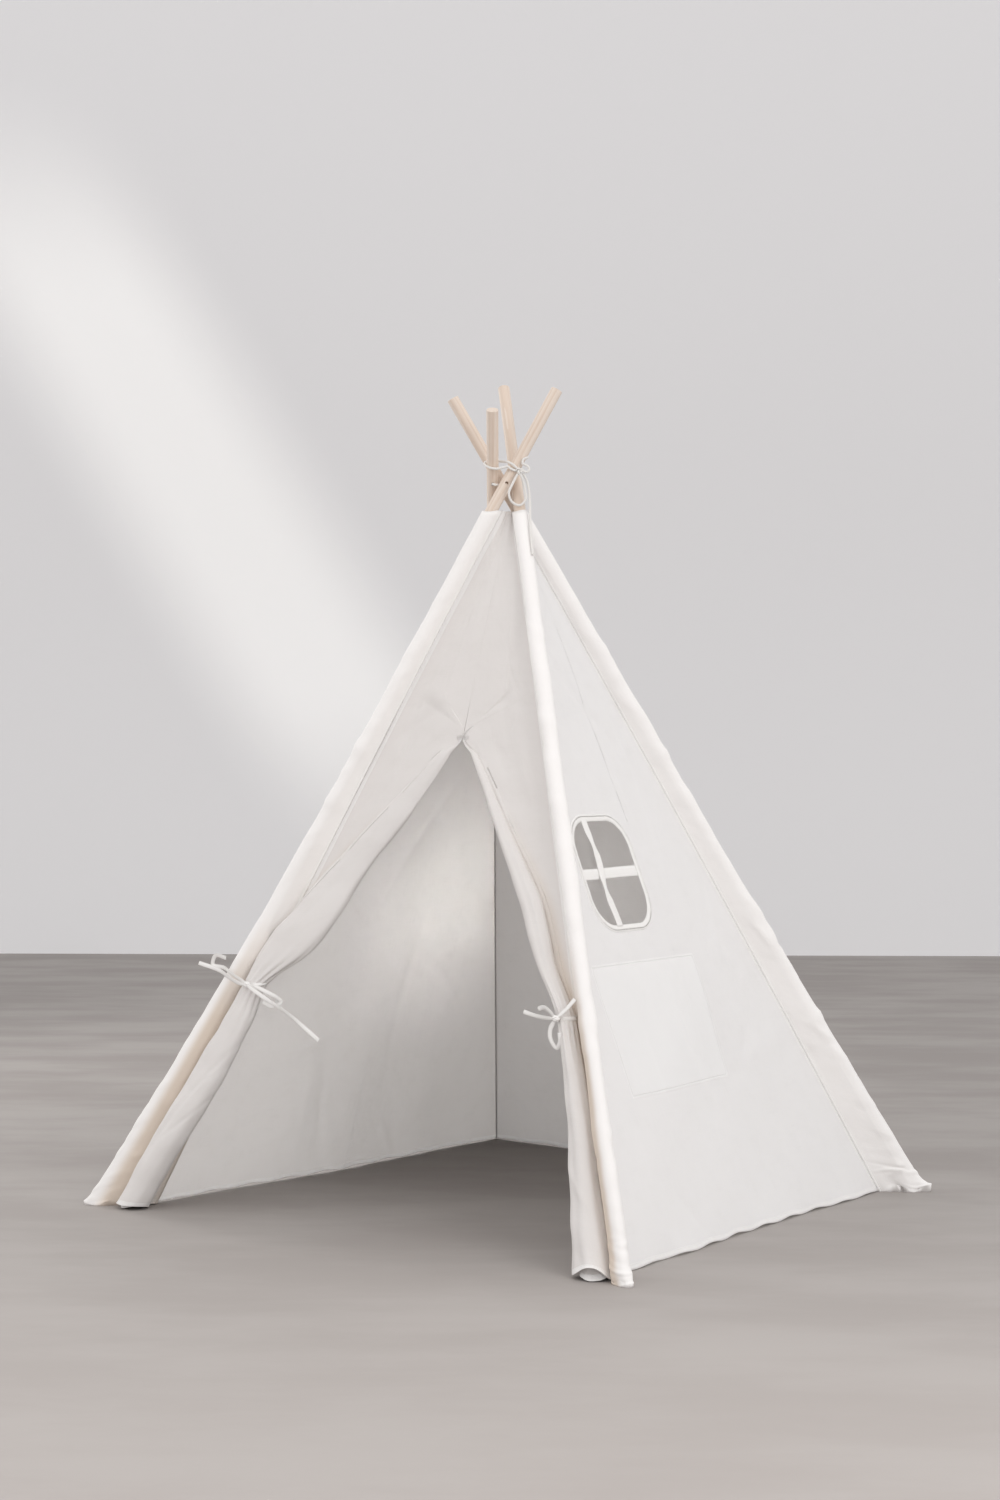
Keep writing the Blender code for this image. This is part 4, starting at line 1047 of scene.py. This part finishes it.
# tape: a strip between two edges, a little cupped; the upright one wanders sideways by a sine
def addWindowTape(name, level):
    t = np.linspace(-1, 1, 70)[:, None]
    e = np.linspace(-0.5, 0.5, 15)[None, :]
    size = window["tape"]
    reach = (window["width"] if level else window["rise"]) / 2 + 0.002
    if level:
        along, up = t * reach, 0.0008 * np.sin(2.2 * t) + e * size
        out = -0.0016 + 0.0010 * np.cos(math.pi * e)
    else:
        swing = np.sin(2.4 * math.pi * t + 0.6)
        curl = 1 - 0.22 * np.abs(swing) * (1 - t**2)
        along = window["uprightAt"] + window["wave"] * np.sin(1.5 * math.pi * t) + e * size * curl
        up = t * reach
        out = 0.0016 + 0.0012 * np.cos(math.pi * e) + 0.0016 * swing * e * 2 * (1 - t**2)
    places, shares = inWindow(along, up, out)
    run = t * reach
    piece = makePiece(name + "_soft", places, cotton["cottonTape"], pairs(e * size, run),
                      {"edgeGap": (0.5 - np.abs(e)) * size, "edgeRun": run}, flip=level)
    thicken(piece, window["tapeThickness"])
    foldWith(piece, "right", 0, shares)
    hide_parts(name)


zigzag = {"fromEdge": 0.0035, "pitch": 0.0011, "side": 0.0011, "proud": 0.0002, "thread": 0.0003}


# zigzag row: a fine thread going side to side along a line round the binding
def addZigzag():
    outline = windowOutline(window["binding"] - zigzag["fromEdge"])
    closed = np.vstack([outline, outline[:1]])
    reach = lengthAlong(closed)
    steps = np.arange(0, reach[-1], zigzag["pitch"])
    line = np.column_stack([np.interp(steps, reach, closed[:, axis]) for axis in (0, 1)])
    ahead = unit(np.gradient(line, axis=0))
    side = zigzag["side"] * np.where(np.arange(len(steps)) % 2 == 0, 1, -1)
    places, shares = inWindow(line[:, 0] + ahead[:, 1] * side, line[:, 1] - ahead[:, 0] * side,
                              window["bindingThickness"] / 2 + zigzag["proud"])
    grid = tubeGrid(places, zigzag["thread"], 5)
    uv = pairs(np.linspace(0, 1, grid.shape[1]), steps[:, None])
    piece = makePiece("window_stitches", grid, cordCotton, uv)
    foldWith(piece, "right", 0, np.repeat(shares, grid.shape[1]))


# pocket: a patch on the inner face, sewn on three sides; its mouth gapes by sin of the rise
def addPocket():
    spine = panels["right"][2]
    rise = np.linspace(0, 1, 60)[:, None]
    tall, wide = pocket["top"] - pocket["bottom"], pocket["width"] / 2
    height = pocket["bottom"] + tall * rise
    width = panelWidth("right", height)
    edge = ((spine - 0.5) * width - pocket["fromMiddle"]) / wide  # where the fold line crosses the patch
    for half, (name, columns) in enumerate((("start", 64), ("end", 20))):
        t = np.linspace(0, 1, columns)[None, :]
        s = -1 + (edge + 1) * t if half == 0 else edge + (1 - edge) * t
        along = pocket["fromMiddle"] + s * wide
        share = 0.5 + along / width
        out = rightWave(share, height, cloth["seeds"]["right"], width) - cloth["thickness"]
        size, close = pocket["wavy"]
        gape = pocket["gape"] * (1 - s**2) * np.sin(math.pi / 2 * rise) * (1 + size * np.sin(close * s))
        out = out - pocket["behind"] - gape
        out = out - (1 - s**2) * creases(along, height, pocket["seed"], pocket["creases"])
        sideways, upwards = 1 - np.abs(s), np.minimum(rise, 1 - rise)
        marks = {"edgeGap": np.minimum(sideways * wide, upwards * tall),
                 "edgeRun": np.where(sideways * 0.8 < upwards, height + 0 * s, along)}
        piece = makePiece("inner_pocket_" + name, onPanel("right", share, height, out), cotton["canvas"],
                          pairs(along, height), marks, flip=True)
        thicken(piece, pocket["thickness"])
        foldWith(piece, "right", half, share)
        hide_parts("inner_pocket")


addBinding()
addWindowTape("window_tape_level", True)
addWindowTape("window_tape_upright", False)
addZigzag()
addPocket()
print("window and pocket sewn")

# The front, with its two rolled flaps
door = {
    "height": 0.930,
    "rollStart": 215.0,
    "rollEnd": -100.0,
    "inner": {"left": -400.0, "right": -640.0},  # the roll goes on inside itself to this angle
    "undercut": {"left": 78.0, "right": 0.0},  # degrees that the left flap opens by above its tie
    "thickness": 0.0009,
    "opens": (0.01, 0.16),  # heights above its tie between which the left flap comes to open
    "shuts": (0.86, 0.92),
    "shrink": (0.16, 0.12),  # of the roll inside itself, at once and over this share of the turns
    "shrinkOn": (0.42, 1.2),  # and steadily inwards: size, power
    "shrinkOpen": (0.30, 0.2),  # and more where it is open
    "seam": 0.0012,  # from the seam to the first column
    "neck": (0.15, 1.6, 0.05),  # from the groove to the roll: how level it starts, how steep, its swell
    "closing": 0.895,  # from here up the two sides meet at the doorway's top
    "meet": 0.0006,  # where the roll has closed, from the middle line
    "lessInside": 0.6,  # share by which the ridges calm down to the roll's inner end
    "flatWaves": (0.0030, 0.25, 0.22),  # above the door: height, stretch, length
    "ripple": (0.0011, 0.09),
    "rippleShare": 0.9,
    "rippleFrom": (0.004, 0.05),  # metres of cloth from the seam
    "hemFacing": (0.25, 0.045),  # which way round the roll its hem lifts, and what that fades in
    "hemWave": (0.0035, 0.018, 75),
    "hemWaveFrom": (0.01, 0.04),
    "spread": 0.10,  # over this height above the door the roll's columns spread over the flat cloth
    "calm": {"left": 0.45, "right": 1.0},
    "hemLift": {"left": 0.008, "right": 0.020},
    "creases": {"height": 0.0024, "count": 60, "box": (0.0, 0.55, 0.0, 1.3),
                "width": 0.010, "reach": 0.09, "lean": 1.45, "spread": 0.4},
    # painted shade along each flap's groove: strength, width, and the heights it fades out over
    "tan": 0.75,
    "tanWidth": 0.016,
    "tanTop": (0.80, 0.35),
    "columns": {"flat": 26, "neck": 8, "left": 230, "right": 300},
    # height, groove as a share of the width; then middle from the groove, half width, stand-out and
    # half depth; all but the groove are shares of the door's height
    "left": (
        (0.0015, 0.012, -0.0122, 0.0344, 0.0602, 0.0323), (0.1290, 0.012, -0.0024, 0.0398, 0.0591, 0.0323),
        (0.2710, 0.012, 0.0086, 0.0441, 0.0484, 0.0258), (0.4065, 0.012, 0.0120, 0.0355, 0.0409, 0.0215),
        (0.4731, 0.012, 0.0094, 0.0280, 0.0376, 0.0172), (0.5376, 0.012, 0.0385, 0.0629, 0.0324, 0.0194),
        (0.6022, 0.012, 0.0569, 0.0699, 0.0271, 0.0194), (0.6989, 0.050, 0.0556, 0.0537, 0.0130, 0.0151),
        (0.8333, 0.180, 0.0429, 0.0383, 0.0090, 0.0100), (0.9247, 0.308, 0.0278, 0.0227, 0.0043, 0.0070),
        (0.9806, 0.410, 0.0138, 0.0085, 0.0011, 0.0050)),
    "right": (
        (0.0015, 0.012, 0.0085, 0.0393, 0.0333, 0.0344), (0.1290, 0.012, 0.0086, 0.0324, 0.0258, 0.0280),
        (0.2710, 0.012, 0.0067, 0.0245, 0.0194, 0.0237), (0.4065, 0.013, 0.0101, 0.0182, 0.0161, 0.0204),
        (0.4516, 0.013, 0.0137, 0.0161, 0.0151, 0.0194), (0.5376, 0.038, 0.0274, 0.0194, 0.0129, 0.0183),
        (0.6882, 0.083, 0.0313, 0.0242, 0.0129, 0.0172), (0.7957, 0.180, 0.0224, 0.0167, 0.0086, 0.0118),
        (0.9301, 0.330, 0.0166, 0.0091, 0.0043, 0.0075), (0.9806, 0.412, 0.0131, 0.0065, 0.0011, 0.0054)),
    "ties": {"left": 0.4731, "right": 0.4516},
}
sides = ("left", "right")


# a point of the front by its distance from one side's seam, and its step outwards
def besideDoor(side, height, along, out):
    share = along / panelWidth("front", height)
    share = share if side == "left" else 1 - share
    return onPanel("front", share, height, out), share


# the roll at given heights: groove, middle, half width, stand-out and half depth, in metres
def rollAt(side, heights):
    places, *table = np.array(door[side]).T
    groove, *rest = [through(places, values, heights / door["height"]) for values in table]
    groove = groove * panelWidth("front", heights)
    middle, half, stand, depth = [row * door["height"] for row in rest]
    return groove, groove + middle, half, stand, depth


# the same up to the canvas's top: above the table the groove keeps its share, and the roll closes
def rollUp(side, heights):
    low = np.minimum(heights, door[side][-1][0] * door["height"])
    groove, middle, half, stand, depth = rollAt(side, low)
    width = panelWidth("front", heights)
    groove = groove / panelWidth("front", low) * width
    close = ease(heights, door["closing"], door["height"])
    middle = middle * (1 - close) + (width / 2 - door["meet"]) * close
    return groove, middle, half * (1 - close), stand * (1 - close), depth * (1 - close)


# turns wound round the roll and on inside it, how far past the outer turn, and how much they shrink
def rollTurns(side, heights):
    inner, opening = door["inner"][side], door["undercut"][side]
    tied = door["ties"][side] * door["height"]
    low, high = door["opens"]
    opened = (ease(heights, tied + low, tied + high) * (1 - ease(heights, *door["shuts"])))[:, None]
    first = door["rollStart"] - opening * opened
    turn = np.radians(first + (inner - first) * np.linspace(0, 1, door["columns"][side]))
    past = np.clip((math.radians(door["rollEnd"]) - turn) / math.radians(door["rollEnd"] - inner), 0, 1)
    opened = opened * (opening > 0)
    (step, within), (more, power), (wider, over) = door["shrink"], door["shrinkOn"], door["shrinkOpen"]
    shrink = 1 - step * ease(past, 0, within) - more * past**power
    return turn, past, shrink * (1 - wider * opened * ease(past, 0, over))


ridge = {  # folds of the roll, as shares of its radius
    "wide": ((0.040, 3, 0.8), (0.028, 5, 1.3)),  # size, how many round it, how far they drift
    "fine": (0.020, 8, 5),  # size, how many, lean
    "pleats": (0.09, 11),
    "byTie": 0.050,
    "calmByTie": 0.55,
    "band": 0.006,  # close to it the pleats end
    "drift": (0.02, 0.5, 5),
    "start": 1.3,
}


# radial folds: wide and fine ridges that run up and down the roll, calmer by the tie, where short
# pleats are added
def rollFolds(side, turn, z):
    fromTie = z - door["ties"][side] * door["height"]
    near = bell(fromTie, ridge["byTie"])
    across, length, count = ridge["drift"]
    drift = softWaves(fromTie, turn * across, 5 + sides.index(side), length, count)
    seed = ridge["start"] * (1 + sides.index(side))
    wide = 0
    for number, (size, often, far) in enumerate(ridge["wide"]):
        wide = wide + size * np.sin(often * turn + (1 + number) * seed + far * drift)
    size, often, lean = ridge["fine"]
    fine = size * np.sin(often * turn + 3 * seed + lean * fromTie)
    size, often = ridge["pleats"]
    pleat = size * near * np.sin(often * turn + seed) * np.tanh(np.abs(fromTie) / ridge["band"])
    return (wide + fine) * (1 - ridge["calmByTie"] * near) * door["calm"][side] + pleat


# one side of the front: flat from the seam to the groove, a neck, then wound outwards round the
# roll and on inside it, at middle + half width x cosine of the turn and stand-out + half depth x its
# sine, both x size; above the door it lies flat to the middle of the front
def frontGrid(side):
    number = sides.index(side)
    heights = np.concatenate([np.geomspace(teepee["hem"], 0.10, 34), np.linspace(0.104, 0.911, 200),
                              np.linspace(0.9125, teepee["top"], 96)])
    z, width = heights[:, None], panelWidth("front", heights)[:, None]
    groove, middle, half, stand, depth = [part[:, None] for part in rollUp(side, heights)]
    turn, past, shrink = rollTurns(side, heights)
    size = shrink * (1 + rollFolds(side, turn, z) * (1 - door["lessInside"] * past))
    rollAlong, rollOut = middle + half * np.cos(turn) * size, stand + depth * np.sin(turn) * size
    seam = door["seam"]
    flatAlong = seam + (groove - seam) * np.linspace(0, 1, door["columns"]["flat"])
    neck = np.linspace(0, 1, door["columns"]["neck"] + 1)[1:]
    level, steep, swell = door["neck"]
    neckAlong = groove + (rollAlong[:, :1] - groove) * (level * neck + (1 - level) * neck**2)
    neckOut = rollOut[:, :1] * (neck * (steep - (steep - 1) * neck)) + swell * half * np.sin(math.pi * neck)
    along = np.concatenate([flatAlong, neckAlong, rollAlong], axis=1)
    out = np.concatenate([0 * flatAlong, neckOut, rollOut], axis=1)
    # above the door the columns spread evenly over the way to the middle line
    spread = ease(z, door["height"], door["height"] + door["spread"])
    rank = np.linspace(0, 1, along.shape[1])[None, :]
    deep, stretch, length = door["flatWaves"]
    flatOut = deep * np.sin(math.pi * rank) * softWaves(rank * stretch, z, 9 + number, length)
    along = along * (1 - spread) + (seam + (width / 2 - seam) * rank) * spread
    out = out * (1 - spread) + flatOut * spread
    places, shares = besideDoor(side, z + 0 * along, along, out)
    run = lengthAlong(pairs(along, out))
    deep, length = door["ripple"]
    ripple = deep * softWaves(run, z, 31 + number, length)
    ripple = door["rippleShare"] * (ripple + creases(run, z, 41 + number, door["creases"]))
    before = ((0, 0), (along.shape[1] - turn.shape[1], 0))  # the columns before the roll
    outer = np.pad(1 - ease(past, 0, 0.1), before, constant_values=1.0)
    normal = unit(np.cross(np.gradient(places, axis=1), np.gradient(places, axis=0))) * (1, -1)[number]
    places = places + normal * (ripple * ease(run, *door["rippleFrom"]) * outer)[..., None]
    # the foot hem dips and lifts round the roll
    toward, fade = door["hemFacing"]
    facing = np.pad(np.maximum(0, np.sin(turn - toward)) ** 2, before) * outer
    places[..., 2] += door["hemLift"][side] * np.exp(-z / fade) * facing
    high, fade, close = door["hemWave"]
    wave = high * np.exp(-z / fade) * (1 + np.sin(run * close + 1.0))
    places[..., 2] += wave * ease(run, *door["hemWaveFrom"])
    # painted tan shade along the groove between the flat cloth and the roll, fading out higher up
    top, fade = door["tanTop"]
    paintedGrooveShade = door["tan"] * bell(run - groove, door["tanWidth"]) * np.clip((top - z) / fade, 0, 1)
    return places, shares, z, run, paintedGrooveShade


def addFront(side):
    half, slope = sides.index(side), slopeOf("front")
    places, shares, z, run, paintedGrooveShade = frontGrid(side)
    end, high = run[:, -1:] - run, z * slope + 0 * run
    gap = np.minimum(np.minimum(run, high), np.where(z < door["height"], end, 1.0))
    stitch = np.where(high < np.minimum(run, end), run, high)
    piece = makePiece("front_" + side, places, cotton["canvas"], pairs(run, high),
                      {"edgeGap": gap, "edgeRun": stitch, "paintedGrooveShade": paintedGrooveShade}, flip=half == 1)
    thicken(piece, door["thickness"])
    foldWith(piece, "front", half, shares)
    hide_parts("front_panel", "door_flap_" + side)


for side in sides:
    addFront(side)
print("front hung and rolled")

# Ties that hold the flaps
tie = {
    "reach": 0.100,
    "width": 0.008,
    "thickness": 0.0012,
    "knot": 0.012,
    "proud": 0.0030,  # the band's middle from the roll
    "knotOut": 0.0099,  # the knot's middle from the roll
    "step": 0.0016,
    "twist": {"left": 3, "right": 4},
    "angle": {"left": 90.0, "right": 80.0},
    # from the knot: away from the side's own seam, out of the front, up; in tie reaches
    "routes": {
        "left": {
            "upper_loop": ((-0.066, -0.010, 0.032), (-0.340, 0.0, 0.160), (-0.610, 0.0, 0.300),
                           (-0.920, 0.0, 0.360), (-0.850, 0.010, 0.520), (-0.550, 0.010, 0.500)),
            "upper_tail": ((-0.054, 0.036, 0.006), (-0.340, 0.070, 0.090), (-0.635, 0.060, 0.230),
                           (-1.235, 0.060, 0.370)),
            "lower_loop": ((0.062, -0.010, -0.012), (0.280, 0.010, -0.040), (0.470, 0.010, -0.095),
                           (0.900, 0.0, -0.300), (0.690, 0.010, -0.380), (0.430, 0.010, -0.320)),
            "lower_tail": ((0.054, 0.036, -0.010), (0.550, 0.080, -0.230), (1.090, 0.060, -0.480),
                           (1.920, 0.060, -0.960)),
        },
        "right": {
            "upper_loop": ((0.050, 0.003, 0.047), (0.150, 0.010, 0.140), (0.260, 0.010, 0.190),
                           (0.380, 0.010, 0.150)),
            "upper_tail": ((0.054, 0.036, 0.002), (0.350, 0.050, 0.020), (0.680, 0.040, 0.085)),
            "lower_loop": ((0.038, 0.008, -0.060), (0.100, 0.020, -0.180), (0.105, 0.020, -0.350),
                           (-0.030, 0.010, -0.520), (-0.110, 0.020, -0.400), (-0.100, 0.020, -0.240)),
            "seam_strap": ((-0.053, -0.017, 0.050), (-0.190, -0.060, 0.180), (-0.320, -0.140, 0.360)),
        },
    },
}


# a tape on a line: its width stays square to the line, turning a little, its edges curling
def stripGrid(line, facing, seed):
    tangent = unit(np.gradient(line, axis=0))
    side = unit(np.cross(facing, tangent))
    normal = np.cross(tangent, side)
    reach = lengthAlong(line)
    twist = (0.35 * np.sin(reach * 42 + seed))[:, None]
    squeezed = 0.55 + 0.45 * ease(reach, 0.0, 0.016)[:, None]  # where it leaves the knot
    wide = (np.cos(twist) * side + np.sin(twist) * normal) * squeezed
    part = np.linspace(-0.5, 0.5, 9)[None, :, None]
    curl = 0.0007 * np.cos(math.pi * part)
    return line[:, None] + part * tie["width"] * wide[:, None] + curl * normal[:, None]


def addStrip(name, grid, side, shares):
    columns = grid.shape[1]
    line = grid[:, columns // 2]
    run = lengthAlong(line)[:, None]
    across = np.linspace(0, tie["width"], columns)[None, :]
    marks = {"edgeGap": np.minimum(across, tie["width"] - across), "edgeRun": run}
    piece = makePiece(name + "_soft", grid, cotton["cottonTape"], pairs(across, run), marks,
                      flip=side == "left")
    thicken(piece, tie["thickness"] * 0.75)
    foldWith(piece, "front", sides.index(side), shares)
    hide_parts(name)
    if name.endswith("band"):  # held all round by the roll, so not a free end
        return


# band: a ring of tape round the roll, with a slight wave
def addBand(side, height, middle, half, stand, depth):
    angles = np.radians(np.linspace(door["rollStart"], door["rollEnd"], 120))
    angles = np.append(angles, angles[-1] - 0.2)[:, None]
    part = np.linspace(-0.5, 0.5, 9)[None, :]
    swell = tie["proud"] - 0.0012 + 0.0010 * np.sin(3 * angles + 5 * part)
    swell = swell - 0.0010 * (2 * np.abs(part)) ** 2
    along, out = middle + (half + swell) * np.cos(angles), stand + (depth + swell) * np.sin(angles)
    grid, shares = besideDoor(side, height + part * tie["width"] + 0 * angles, along, out)
    addStrip(f"tie_{side}_band", grid, side, shares)


# knot: a ball of tape, lumpy by three sines of its turns
def addTieKnot(side, at, share, across, level):
    u, v = np.meshgrid(np.linspace(0, 2 * math.pi, 41), np.linspace(0, math.pi, 25), indexing="ij")
    lumps = 0.10 * np.sin(2 * u + 1.0) * np.sin(v) + 0.12 * np.sin(5 * v + 2 * u)
    lumps = lumps + 0.08 * np.sin(9 * v - 3 * u)
    radius = tie["knot"] / 2
    ball = (np.sin(v) * np.cos(u))[..., None] * across * 1.15
    ball = ball + (np.sin(v) * np.sin(u))[..., None] * level * 0.95
    ball = ball + np.cos(v)[..., None] * np.array([0, 0, 0.9])
    places = at + ball * (radius * (1 + lumps))[..., None]
    marks = {"edgeGap": 0.004, "edgeRun": u * radius}
    knot = makePiece(f"tie_{side}_knot_soft", places, cotton["cottonTape"],
                     pairs(u * radius, v * radius), marks, flip=side == "left")
    foldWith(knot, "front", sides.index(side), np.full(u.shape, share))
    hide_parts(f"tie_{side}_knot")


def addTies(side):
    height = np.array(door["ties"][side] * door["height"])
    middle, half, stand, depth = [float(value) for value in rollAt(side, height)[1:]]
    turn, out = math.radians(tie["angle"][side]), tie["knotOut"]
    at, share = besideDoor(side, height, np.array(middle + (half + out) * math.cos(turn)),
                           np.array(stand + (depth + out) * math.sin(turn)))
    across = unit(acrossPanel("front", 0.4)) * (1 if side == "left" else -1)
    level = levelOut("front", height)
    addBand(side, height, middle, half, stand, depth)
    for part, route in tie["routes"][side].items():
        steps = np.array(route) * tie["reach"]
        line = at + steps[:, :1] * across + steps[:, 1:2] * level + steps[:, 2:] * np.array([0, 0, 1.0])
        strip = stripGrid(smoothLine(np.vstack([at, line]), tie["step"]), level, tie["twist"][side])
        addStrip(f"tie_{side}_{part}", strip, side, np.full(strip.shape[:2], float(share)))
    addTieKnot(side, at, float(share), across, level)


for side in sides:
    addTies(side)
print("ties tied")

# Bar tacks at the doorway's top: rows of thread over the two edges
tack = {
    "height": 0.928,
    "rows": 4,
    "length": 0.028,
    "pitch": 0.0022,
    "thread": 0.0007,
    "proud": 0.0012,
    "wave": (0.0003, 40),
}


# straight lines of thread over both edges, standing out by a small sine
def addTacks():
    t = np.linspace(-1, 1, 40)
    rows = []
    for number in range(tack["rows"]):
        height = tack["height"] + (number - (tack["rows"] - 1) / 2) * tack["pitch"] + 0 * t
        share = 0.5 + t * tack["length"] / 2 / panelWidth("front", height)
        size, close = tack["wave"]
        line = onPanel("front", share, height, tack["proud"] + size * np.sin(close * t))
        rows.append(tubeGrid(line, tack["thread"] / 2, 6))
    long, around = rows[0].shape[:2]
    starts = np.arange(tack["rows"])[:, None, None] * long * around
    quads = (gridQuads(long, around) + starts).reshape(-1, 4)
    uv = pairs(np.linspace(0, 1, around), np.linspace(0, tack["length"], long)[:, None])
    piece = makePiece("door_bar_tacks", np.concatenate(rows), cordCotton, np.tile(uv, (tack["rows"], 1, 1)),
                      quads=quads)
    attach(piece, "crown")


addTacks()
print("doorway tacked")

# Room and light
room = {
    "depth": 6.05,
    "half": 9.0,
    "height": 6.0,
    "floor": (0.305, 0.281, 0.268),
    "paintedLightNear": 1.60,  # painted light: times as pale near the camera
    "cloud": (1.3, 3.2, 1.0),
    "cloudColour": (0.62, 0.60, 0.58),
    "cloudShare": 0.20,
    "grit": (40.0, 160.0, 1.0),
    "gritColour": (0.38, 0.36, 0.345),
    "gritShare": 0.14,
    "wall": (0.885, 0.885, 0.90),
    "beamLean": 0.618,
    "beamAt": 0.107,
    "beamEdge": (0.14, 0.74),
    "beamLow": (0.2, 1.25),
    "beamHigh": (2.9, 4.1),
    "beamGlow": 0.10,
    "paintedGlowLow": 0.055,
    "white": (1.0, 1.0, 1.0),
}


# floor: paler towards the camera as painted light, with soft clouds and grit stretched along the wall
def floorFinish():
    finish, made, shader = newFinish("floor")
    along = made.add("ShaderNodeVectorRotate", {"Vector": made.onObject(), "Angle": -camera["heading"]},
                     rotation_type="Z_AXIS").outputs[0]
    cloud = made.between(made.noise(made.stretched(along, room["cloud"]), 1.0, 5.0, 0.6), 0.35, 0.65)
    grit = made.noise(made.stretched(along, room["grit"]), 1.0, 3.0)
    near = made.between(made.times(made.split(along)[1], -1.0), -1.0, 2.6)
    body = made.mixColour(near, room["floor"], [part * room["paintedLightNear"] for part in room["floor"]])
    body = made.mixColour(cloud, body, made.mixColour(room["cloudShare"], body, room["cloudColour"]))
    body = made.mixColour(made.times(grit, room["gritShare"]), body, room["gritColour"])
    made.dress(shader, body, {"Roughness": 0.7, "Specular IOR Level": 0.25})
    return finish


# the wall shows from the room's side only; a soft diagonal beam of light is painted across its left part,
# and painted light glows brighter towards its foot
def wallFinish():
    finish, made, shader = newFinish("wall")
    across, _, up = made.split(made.onObject())
    slant = made.plus(across, made.times(up, room["beamLean"]))
    beam = made.beyond(made.calc("ABSOLUTE", made.plus(slant, room["beamAt"])), *room["beamEdge"])
    high = made.minus(made.between(up, *room["beamLow"]), made.between(up, *room["beamHigh"]))
    glow = made.times(beam, high)
    # painted light: the wall glows more towards the floor
    low = made.beyond(up, 0.0, 2.4)
    lit = made.plus(made.times(glow, room["beamGlow"]), made.times(low, room["paintedGlowLow"]))
    made.dress(shader, made.mixColour(glow, room["wall"], room["white"]),
               {"Emission Color": (*room["white"], 1.0), "Emission Strength": lit, "Roughness": 0.9,
                "Specular IOR Level": 0.1})
    clear = made.add("ShaderNodeBsdfTransparent").outputs[0]
    facing = made.add("ShaderNodeNewGeometry").outputs["Backfacing"]
    mix = made.add("ShaderNodeMixShader", {0: facing, 1: shader.outputs[0], 2: clear})
    made.put(finish.node_tree.nodes["Material Output"], {0: mix.outputs[0]})
    return finish


def addRoom():
    heading, size, tall = camera["heading"], room["half"], room["height"]
    away = Vector((-math.sin(heading), math.cos(heading), 0.0))
    right = Vector((math.cos(heading), math.sin(heading), 0.0))
    ground = makePiece("floor", [(-size, -size, 0), (size, -size, 0), (size, size, 0), (-size, size, 0)],
                       floorFinish(), quads=[(0, 1, 2, 3)])
    wall = makePiece("wall", [(-size, 0, -0.01), (size, 0, -0.01), (size, 0, tall), (-size, 0, tall)],
                     wallFinish(), quads=[(0, 1, 2, 3)])
    turn = Matrix((right, away, Vector((0, 0, 1)))).transposed().to_4x4()
    wall.matrix_world = Matrix.Translation(away * room["depth"]) @ turn


light = {
    "key": {"place": (3.4, -0.9, 2.5), "size": 2.2, "power": 31.0, "colour": (1.0, 0.985, 0.97)},
    "fill": {"place": (-1.8, -3.6, 2.4), "size": 3.0, "power": 19.0, "colour": (1.0, 0.985, 0.97)},
    "side": {"place": (-3.2, 0.3, 1.9), "size": 0.7, "power": 20.0, "colour": (1.0, 0.975, 0.95)},
    "beam": {"place": (-2.5, 0.5, 1.25), "size": 0.25, "power": 0.55, "colour": (1.0, 0.98, 0.95),
             "spread": 17.0, "target": (-0.352, 0.145, 0.60)},
}
sky = {"colour": (1.0, 0.985, 0.98, 1.0), "strength": 0.905}


def addLights():
    for name, each in light.items():
        place, target = Vector(each["place"]), Vector(each.get("target", (0.0, 0.0, 0.6)))
        lamp = bpy.data.lights.new(name, "AREA")
        lamp.shape = "DISK"
        lamp.size = each["size"]
        lamp.energy = each["power"]
        lamp.color = each["colour"]
        lamp.spread = math.radians(each.get("spread", 180.0))
        holder = bpy.data.objects.new(name, lamp)
        bpy.context.scene.collection.objects.link(holder)
        turn = (target - place).to_track_quat("-Z", "Y").to_matrix().to_4x4()
        holder.matrix_world = Matrix.Translation(place) @ turn
    world = bpy.data.worlds.new("room")
    bpy.context.scene.world = world
    world.use_nodes = True
    background = world.node_tree.nodes["Background"]
    background.inputs[0].default_value = sky["colour"]
    background.inputs[1].default_value = sky["strength"]


addRoom()
addLights()
bpy.context.scene.view_settings.view_transform = "Standard"
print("room and light set")
